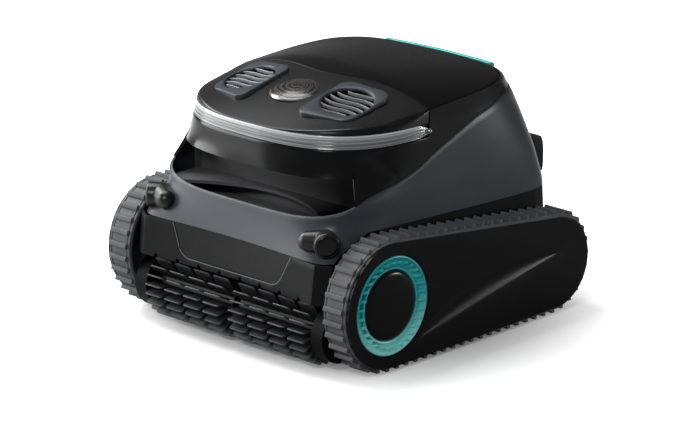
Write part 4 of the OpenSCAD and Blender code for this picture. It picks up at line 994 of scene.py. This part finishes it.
def make_grip():
    """Hood at the rear, hollow from below for a hand."""
    hood = [(rear_axle + body_col(z, 3) + 0.3, z) for z in (203, 190, 178, 168, 157)]
    hood += [(rear_axle + y, z) for y, z in ((61, 151), (62.6, 155), (63.5, 162), (63.8, 172), (63.5, 182),
                                             (62, 190), (59, 195.5), (52, 199))]
    grip = along_x("grip_hood", hood, -120, 120)
    inside = [(rear_axle + body_col(189, 3) + 3, 189), (rear_axle + body_col(157, 3) + 1.5, 140),
              (rear_axle + 58, 140), (rear_axle + 60, 160), (rear_axle + 60.5, 180), (rear_axle + 58, 189)]
    cut(grip, along_x("tool", inside, -112, 112))
    soften(grip, 1.5, 3, 50)
    dress(grip, "body", panel_black, ["rear_hood"], 40)


def make_rear_trim():
    """Teal band along the lid's rear edge."""
    columns = []
    low = 286.2
    for s, p in round_rear(spread(62, 90, 22)):
        top = 294.2 - 1.4 * (90 - p) / 28
        columns.append([(*lid_point(s, p, out), z) for out, z in
                        ((10.4, low), (16.2, low), (16.2, top - 1.6), (15.8, top - 0.5), (15.2, top),
                         (11.2, top), (10.4, top - 0.6))])
    dress(skin("rear_band", columns), "body", button_teal, ["rear_trim"], 40)

# ------------------------------------------------------------------ tracks


def loop_around(grow_front, grow_rear, step=3.0):
    """Outline round the front and rear wheels, outside the belt by the given amounts."""
    y1, z1, r1 = front_axle, front_height, front_radius + grow_front
    y2, z2, r2 = rear_axle, rear_height, rear_radius + grow_rear
    span = math.hypot(y2 - y1, z2 - z1)
    b = math.degrees(math.atan2(z2 - z1, y2 - y1))
    a = math.degrees(math.acos((r1 - r2) / span))
    loop = []
    for (y, z, r, start, end) in ((y2, z2, r2, b - a, b + a), (y1, z1, r1, b + a, b + 360 - a)):
        loop += arc(y, z, r, spread(start, end, max(int((end - start) / step), 2)))
    return loop


def belt_run():
    loop = loop_around(0, 0, 1.0)
    return sum(math.dist(loop[i - 1], loop[i]) for i in range(len(loop)))


def make_band():
    """Belt without its cleats, with a groove along each edge."""
    groove = [(0, 0.2), (0.8, 0), (2.6, 0), (3.0, 0.22), (4.6, 0.22), (5.0, 0)]
    section = [(belt_inside, 1), (belt_outside, 1)]
    section += [(belt_outside - inset, depth) for inset, depth in groove]
    section += [(belt_inside + inset, depth) for inset, depth in reversed(groove)]
    columns = []
    for (y, z), (v, w) in zip(loop_around(0, 0), loop_around(-belt_thickness, -belt_thickness)):
        columns.append([(x, y + (v - y) * depth, z + (w - z) * depth) for x, depth in section])
    return skin("band", columns, ring=True)


def make_cleats():
    """Cleats across the belt, evenly along its run."""
    count = 720
    path = solid("belt_path", [], [])
    route = resample(loop_around(1.9, 1.9, 1.0), count)
    path.data.from_pydata([(0, y * K, z * K) for y, z in route],
                          [(i, (i + 1) % count) for i in range(count)], [])
    tree = Repeat("belt_cleats", Path=path, Count=round(belt_run() / cleat_pitch), Length=0.0285,
                  Height=0.0048, Root=0.0062, Crest=0.0032, Finish=tread)
    curve = tree.add("GeometryNodeMeshToCurve", None, {0: tree.shape("Path")})
    even = tree.add("GeometryNodeResampleCurve", None, {"Curve": curve, "Count": tree.size("Count")})
    cleat = tree.bar("TRAPEZOID", {
        "Height": tree.size("Height") + 0.001, "Bottom Width": tree.size("Root"),
        "Top Width": tree.size("Crest"), "Offset": 0.0},
        0.0009, (0, 0, 0), tree.vector(Z=tree.size("Length")))
    cleats = tree.grow("cleats", tree.along(even, cleat, (1.0, 0.0, 0.0)))
    bpy.data.objects.remove(path)
    across = [v.co.x for v in cleats.data.vertices]
    to_middle = (belt_inside + belt_outside) / 2 * K - (min(across) + max(across)) / 2
    return moved(cleats, Matrix.Translation((to_middle, 0, 0)))


def make_belt(side):
    """Belt of one side with its cleats."""
    belt = join("tread_belt_" + side, make_band(), make_cleats())
    to_side(side, belt)
    return dress(belt, "body", tread, ["belt_" + side], 40)


def cover_hollow():
    """Tool for the shallow hollow that sweeps towards the rear of a side cover."""
    start, face = front_axle + 46, cover_face
    columns = []
    for u in spread(0, 1, 40):
        y, z = start + (rear_axle - start) * u, 31 + 47 * u
        width = 34 * math.sin(math.pi * u) ** 0.8 + 0.4
        deep = 2.8 * math.sin(math.pi * u) ** 0.7 + 0.02
        loop = [(face + 2, y, z)]
        for v in spread(0, 1, 16):
            if v < 0.45:
                fall = math.sin(math.pi * v / 0.9)
            else:
                fall = math.cos(math.pi / 2 * (v - 0.45) / 0.55) ** 1.5
            loop.append((face + 0.02 - deep * fall, y - 4 * v, z + width * v))
        loop.append((face + 2, y - 4, z + 0.5 + width))
        columns.append(loop)
    return skin("tool", columns)


def make_cover(side):
    """Side cover with its round opening and a rim behind its edge."""
    opening = arc(front_axle, front_height, ring_hole, range(0, 360, 3))
    plate = along_x("plate", loop_around(-1.5, -4), cover_face - 3.4, cover_face, [opening])
    cut(plate, cover_hollow())
    soften(plate, 1.0, 3, 40)
    rim = []
    for (y, z), (v, w) in zip(loop_around(-5, -5), loop_around(-7.5, -7.5)):
        rim.append([(188, y, z), (197.5, y, z), (197.5, v, w), (188, v, w)])
    cover = join("side_cover_" + side, plate, skin("rim", rim, ring=True))
    to_side(side, cover)
    return dress(cover, "body", cover_black, ["track_cover_" + side], 30)


def axle_frame(y, z):
    """Frame whose Z axis runs to the right along an axle."""
    return shift(0, y, z) @ turn(90, "Y")


def make_ribs(at):
    """Ribs round the light ring."""
    tree = Repeat("ring_ribs", Count=30, Radius=0.0511, Length=0.0108, Slope=0.0060, Width=0.0034,
                  Height=0.0034, Finish=ring_teal)
    circle = tree.add("GeometryNodeCurvePrimitiveCircle", None, {
        "Resolution": tree.size("Count"), "Radius": tree.size("Radius")})
    rib = tree.bar("RECTANGLE", {"Width": tree.size("Width"), "Height": tree.size("Height")}, 0.0006,
                   tree.vector(Y=tree.size("Length") * -0.5, Z=tree.size("Slope") * 0.5),
                   tree.vector(Y=tree.size("Length") * 0.5, Z=tree.size("Slope") * -0.5))
    ribs = tree.grow("ribs", tree.along(circle, rib, (0.0, 0.0, 1.0)))
    return moved(ribs, at @ shift(0, 0, 194.8))


def make_wheel(side):
    """Light ring with its ribs and the domed hub, which turn together."""
    at = axle_frame(front_axle, front_height)
    ring = spun("ring", [(42.5, 189), (58.5, 189), (59.5, 190.5), (59.5, 197.2), (59.2, 198.4), (58.4, 199.0),
                         (57.2, 199.0), (56.7, 198.4), (56.4, 197.6), (45.8, 191.6), (45.6, 195.2),
                         (45.1, 195.8), (43.5, 195.8), (42.8, 195.3), (42.5, 194.6)], at, 144)
    ring = join("light_ring_" + side, ring, make_ribs(at))
    profile = [(0, 189), (42.0, 189), (42.1, 194.0)] + arc(35.6, 194.0, 6.5, spread(0, 78, 8), 3.8)
    profile += [(r, 199.4 - 1.5 * (r / 37) ** 2) for r in (35.5, 32, 28, 23, 17, 11, 5, 0)]
    hub = spun("hub_dome_" + side, profile, at, 144)
    to_side(side, ring, hub)
    dress(ring, "drive_wheel_" + side, ring_teal, ["wheel_ring_" + side], 40)
    dress(hub, "drive_wheel_" + side, hub_black, ["hub_cap_" + side], 40)


def make_paddle(half, root, tip):
    """One brush paddle, thicker at its root and rounded at its tip."""
    edge = 3.4
    outline = [(-half, root), (half, root)] + arc(half - edge, tip - edge, edge, (0, 22, 45, 67, 90))
    outline += [(-x, r) for x, r in reversed(outline[2:])]
    thick = [0.8 + 0.6 * (tip - r) / (tip - root) for x, r in outline]
    paddle = between("paddle", [(x, -t, r) for (x, r), t in zip(outline, thick)],
                     [(x, t, r) for (x, r), t in zip(outline, thick)])
    return soften(paddle, 0.35, 1, 40)


def make_brush(side):
    """Brush roller: a core and four columns of paddles round it."""
    x0, x1 = 5.0, 135.3
    core = spun("core", [(0, 0.8), (4, 0.8), (4, x0), (18, x0), (19, x0 + 1), (19, x1 - 1), (18, x1),
                         (4, x1), (4, x1 + 11), (0, x1 + 11)], axle_frame(brush_y, brush_z), 72)
    columns = 4
    pitch = (x1 - x0) / columns
    paddle = make_paddle(pitch * 0.42, 17, 41.8)
    tree = Repeat("brush_paddles", Paddle=paddle, Rows=22, Columns=columns, Pitch=pitch * K,
                  First=(x0 + pitch / 2) * K, Finish=brush_rubber)
    total = tree.add("FunctionNodeIntegerMath", {"operation": "MULTIPLY"},
                     {0: tree.size("Rows"), 1: tree.size("Columns")})
    index = tree.add("GeometryNodeInputIndex")
    column = (index / tree.size("Rows")).math("FLOOR")
    row = index - column * tree.size("Rows")
    spots = tree.add("GeometryNodeSetPosition", None, {
        "Geometry": tree.add("GeometryNodePoints", None, {"Count": total}),
        "Position": tree.vector(X=tree.size("First") + column * tree.size("Pitch"))})
    rotation = tree.add("FunctionNodeEulerToRotation", None, {
        0: tree.vector(X=row * (2 * math.pi) / tree.size("Rows"))})
    paddles = tree.grow("paddles", tree.scatter(spots, tree.shape("Paddle"), Rotation=rotation))
    bpy.data.objects.remove(paddle)
    moved(paddles, shift(0, brush_y, brush_z))
    brush = join("finned_brush_" + side, core, paddles)
    to_side(side, brush)
    return dress(brush, "brush_" + side, brush_rubber, ["brush_" + side], 40)


def make_screws():
    """Screws that hold the bottom plate."""
    head = spun("head", [(0, -2.2), (0.9, -2.2), (1.3, -1.9), (2.0, -0.6), (2.0, 0.8), (0, 0.8)], None, 20)
    spots = solid("spots", [(x, y, 8.9) for x in (-111, 111)
                            for y in (front_axle + 28, front_axle + 180, rear_axle - 4)], [])
    tree = Repeat("plate_screws", Spots=spots, Head=head, Finish=steel)
    points = tree.add("GeometryNodeMeshToPoints", None, {0: tree.shape("Spots")})
    screws = tree.grow("plate_screws", tree.scatter(points, tree.shape("Head")))
    for obj in (head, spots):
        bpy.data.objects.remove(obj)
    dress(screws, "body", steel)

# ------------------------------------------------------------------ assembly


make_bumper()
make_shell()
make_lid()
make_top_panel()
for side in "rl":
    make_jet(side)
make_light_band()
make_band_seat()
make_band_ends()
make_front_panel()
make_window()
for side in "rl":
    make_pod(side)
make_lens()
make_rear_panel()
make_grip()
make_rear_trim()
for side in "rl":
    make_belt(side)
    make_cover(side)
    make_wheel(side)
    make_brush(side)
make_screws()

PLAIN = {
    frame_black: ["chassis", "bottom_plate", "charge_cap", "brush_guard", "brush_bracket",
                  "track_frame_l", "track_frame_r", "drive_case_l", "drive_case_r", "hinge_barrel",
                  "sensor_module", "jet_mesh_l", "jet_mesh_r"],
    inner_grey: ["pump_deck", "pump_motor_l", "pump_motor_r", "impeller_l", "impeller_r",
                 "battery_pack", "filter_bay", "filter_basket", "intake_flap", "front_wheel_l",
                 "front_wheel_r", "rear_wheel_l", "rear_wheel_r", "idler_l", "idler_r"],
    tray_grey: ["recess_tray"],
    button_teal: ["power_button", "basket_handle"],
    filter_cloth: ["filter_mesh"],
    steel: ["hinge_pin"],
}
for material, nodes in PLAIN.items():
    for node in nodes:
        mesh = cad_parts[node].data
        for i in range(max(len(mesh.materials), 1)):
            if i < len(mesh.materials):
                mesh.materials[i] = material
            else:
                mesh.materials.append(material)

# ------------------------------------------------------------------ studio


def make_floor():
    """White floor that keeps the real shadow, has painted shade where its glow fades out round and under the
    object, and stays white far from it.
    """
    f = Finish("studio_floor", Roughness=0.9, Specular_IOR_Level=0.1)
    cloud = f.noise(3.0, 2.0)
    seen, glossy, sent = [f.add("ShaderNodeLightPath", out="Is %s Ray" % kind)
                          for kind in ("Camera", "Glossy", "Transmission")]
    white = f.mix(cloud, (0.88, 0.88, 0.88), (0.9, 0.9, 0.9))
    f.set("Base_Color", f.mix(seen, (0.25, 0.25, 0.25), white))
    away = f.add("ShaderNodeVectorMath", {"operation": "LENGTH"}, {0: f.place}, out="Value")
    # Glossy and transmission rays see a glow only to the left and within about 2.6 m, which shows in the
    # reflections on the object.
    left = f.fade(f.axis("X"), -0.5, 0.2, 1.0, 0.06, "SMOOTHSTEP")
    near = f.fade(away, 1.2, 2.6, 1.0, 0.4, "SMOOTHSTEP")
    # Camera rays see the glow fade out between 0.44 m and 0.13 m from the middle: painted shade round and
    # under the object, on top of its real shadow.
    far = f.fade(away, 0.13, 0.44, 0.0, 1.0, "SMOOTHSTEP")
    f.set("Emission_Color", (1, 1, 1, 1))
    f.set("Emission_Strength", seen * far + glossy.math("MAXIMUM", sent) * left * near)
    reach, level = 9000, -0.3
    corners = [(-reach, -reach, level), (reach, -reach, level), (reach, reach, level), (-reach, reach, level)]
    plane = solid("floor", corners, [(0, 1, 2, 3)])
    plane.data.materials.append(f.material)


def make_world():
    """White to the camera, and a soft grey sky to everything else."""
    world = bpy.data.worlds.new("studio")
    bpy.context.scene.world = world
    world.use_nodes = True
    world.node_tree.nodes.clear()
    sky = Graph(world.node_tree)
    height = sky.add("ShaderNodeSeparateXYZ", None, {
        0: sky.add("ShaderNodeTexCoord", out="Generated")}, out="Z")
    seen = sky.add("ShaderNodeLightPath", out="Is Camera Ray")
    strength = seen.math("MAXIMUM", sky.fade(height, 0.03, 0.1, 0.26, 0.15, "SMOOTHSTEP"))
    back = sky.add("ShaderNodeBackground", None, {"Color": (1, 1, 1, 1), "Strength": strength})
    end = world.node_tree.nodes.new("ShaderNodeOutputWorld")
    world.node_tree.links.new(back.socket, end.inputs[0])


def softbox(name, place, target, size, power):
    """Area light that is turned to its target."""
    light = bpy.data.lights.new(name, "AREA")
    light.shape, light.size, light.size_y, light.energy = "RECTANGLE", size[0], size[1], power
    obj = linked(name, light)
    obj.location = place
    obj.rotation_euler = (Vector(target) - Vector(place)).to_track_quat("-Z", "Y").to_euler()


make_floor()
make_world()
softbox("top_box", (-1.1, 0.0, 2.5), (0, 0, 0.1), (1.5, 1.5), 40)
softbox("slope_box", (-2.1, -0.35, 1.75), (0, 0, 0.2), (1.3, 0.9), 42)
softbox("left_box", (-2.4, -1.5, 0.9), (0, 0, 0.15), (2.2, 1.6), 62)
softbox("rear_box", (2.3, 2.45, 0.3), (0, 0, 0.08), (0.5, 0.5), 22)
softbox("front_box", (0.75, -2.0, 1.55), (0, 0, 0.15), (0.7, 0.35), 16)

camera = bpy.data.cameras.new("camera")
camera.lens, camera.sensor_width, camera.shift_y = 187.07, 36.0, 0.0029
camera.clip_start, camera.clip_end = 0.1, 60.0
eye = linked("camera", camera)
eye.location = (2.8534, -2.9828, 1.4012)
azimuth, elevation = math.radians(43.81), math.radians(17.31)
eye.rotation_euler = (math.pi / 2 - elevation, 0, azimuth)
bpy.context.scene.camera = eye
bpy.context.scene.view_settings.view_transform = "Standard"
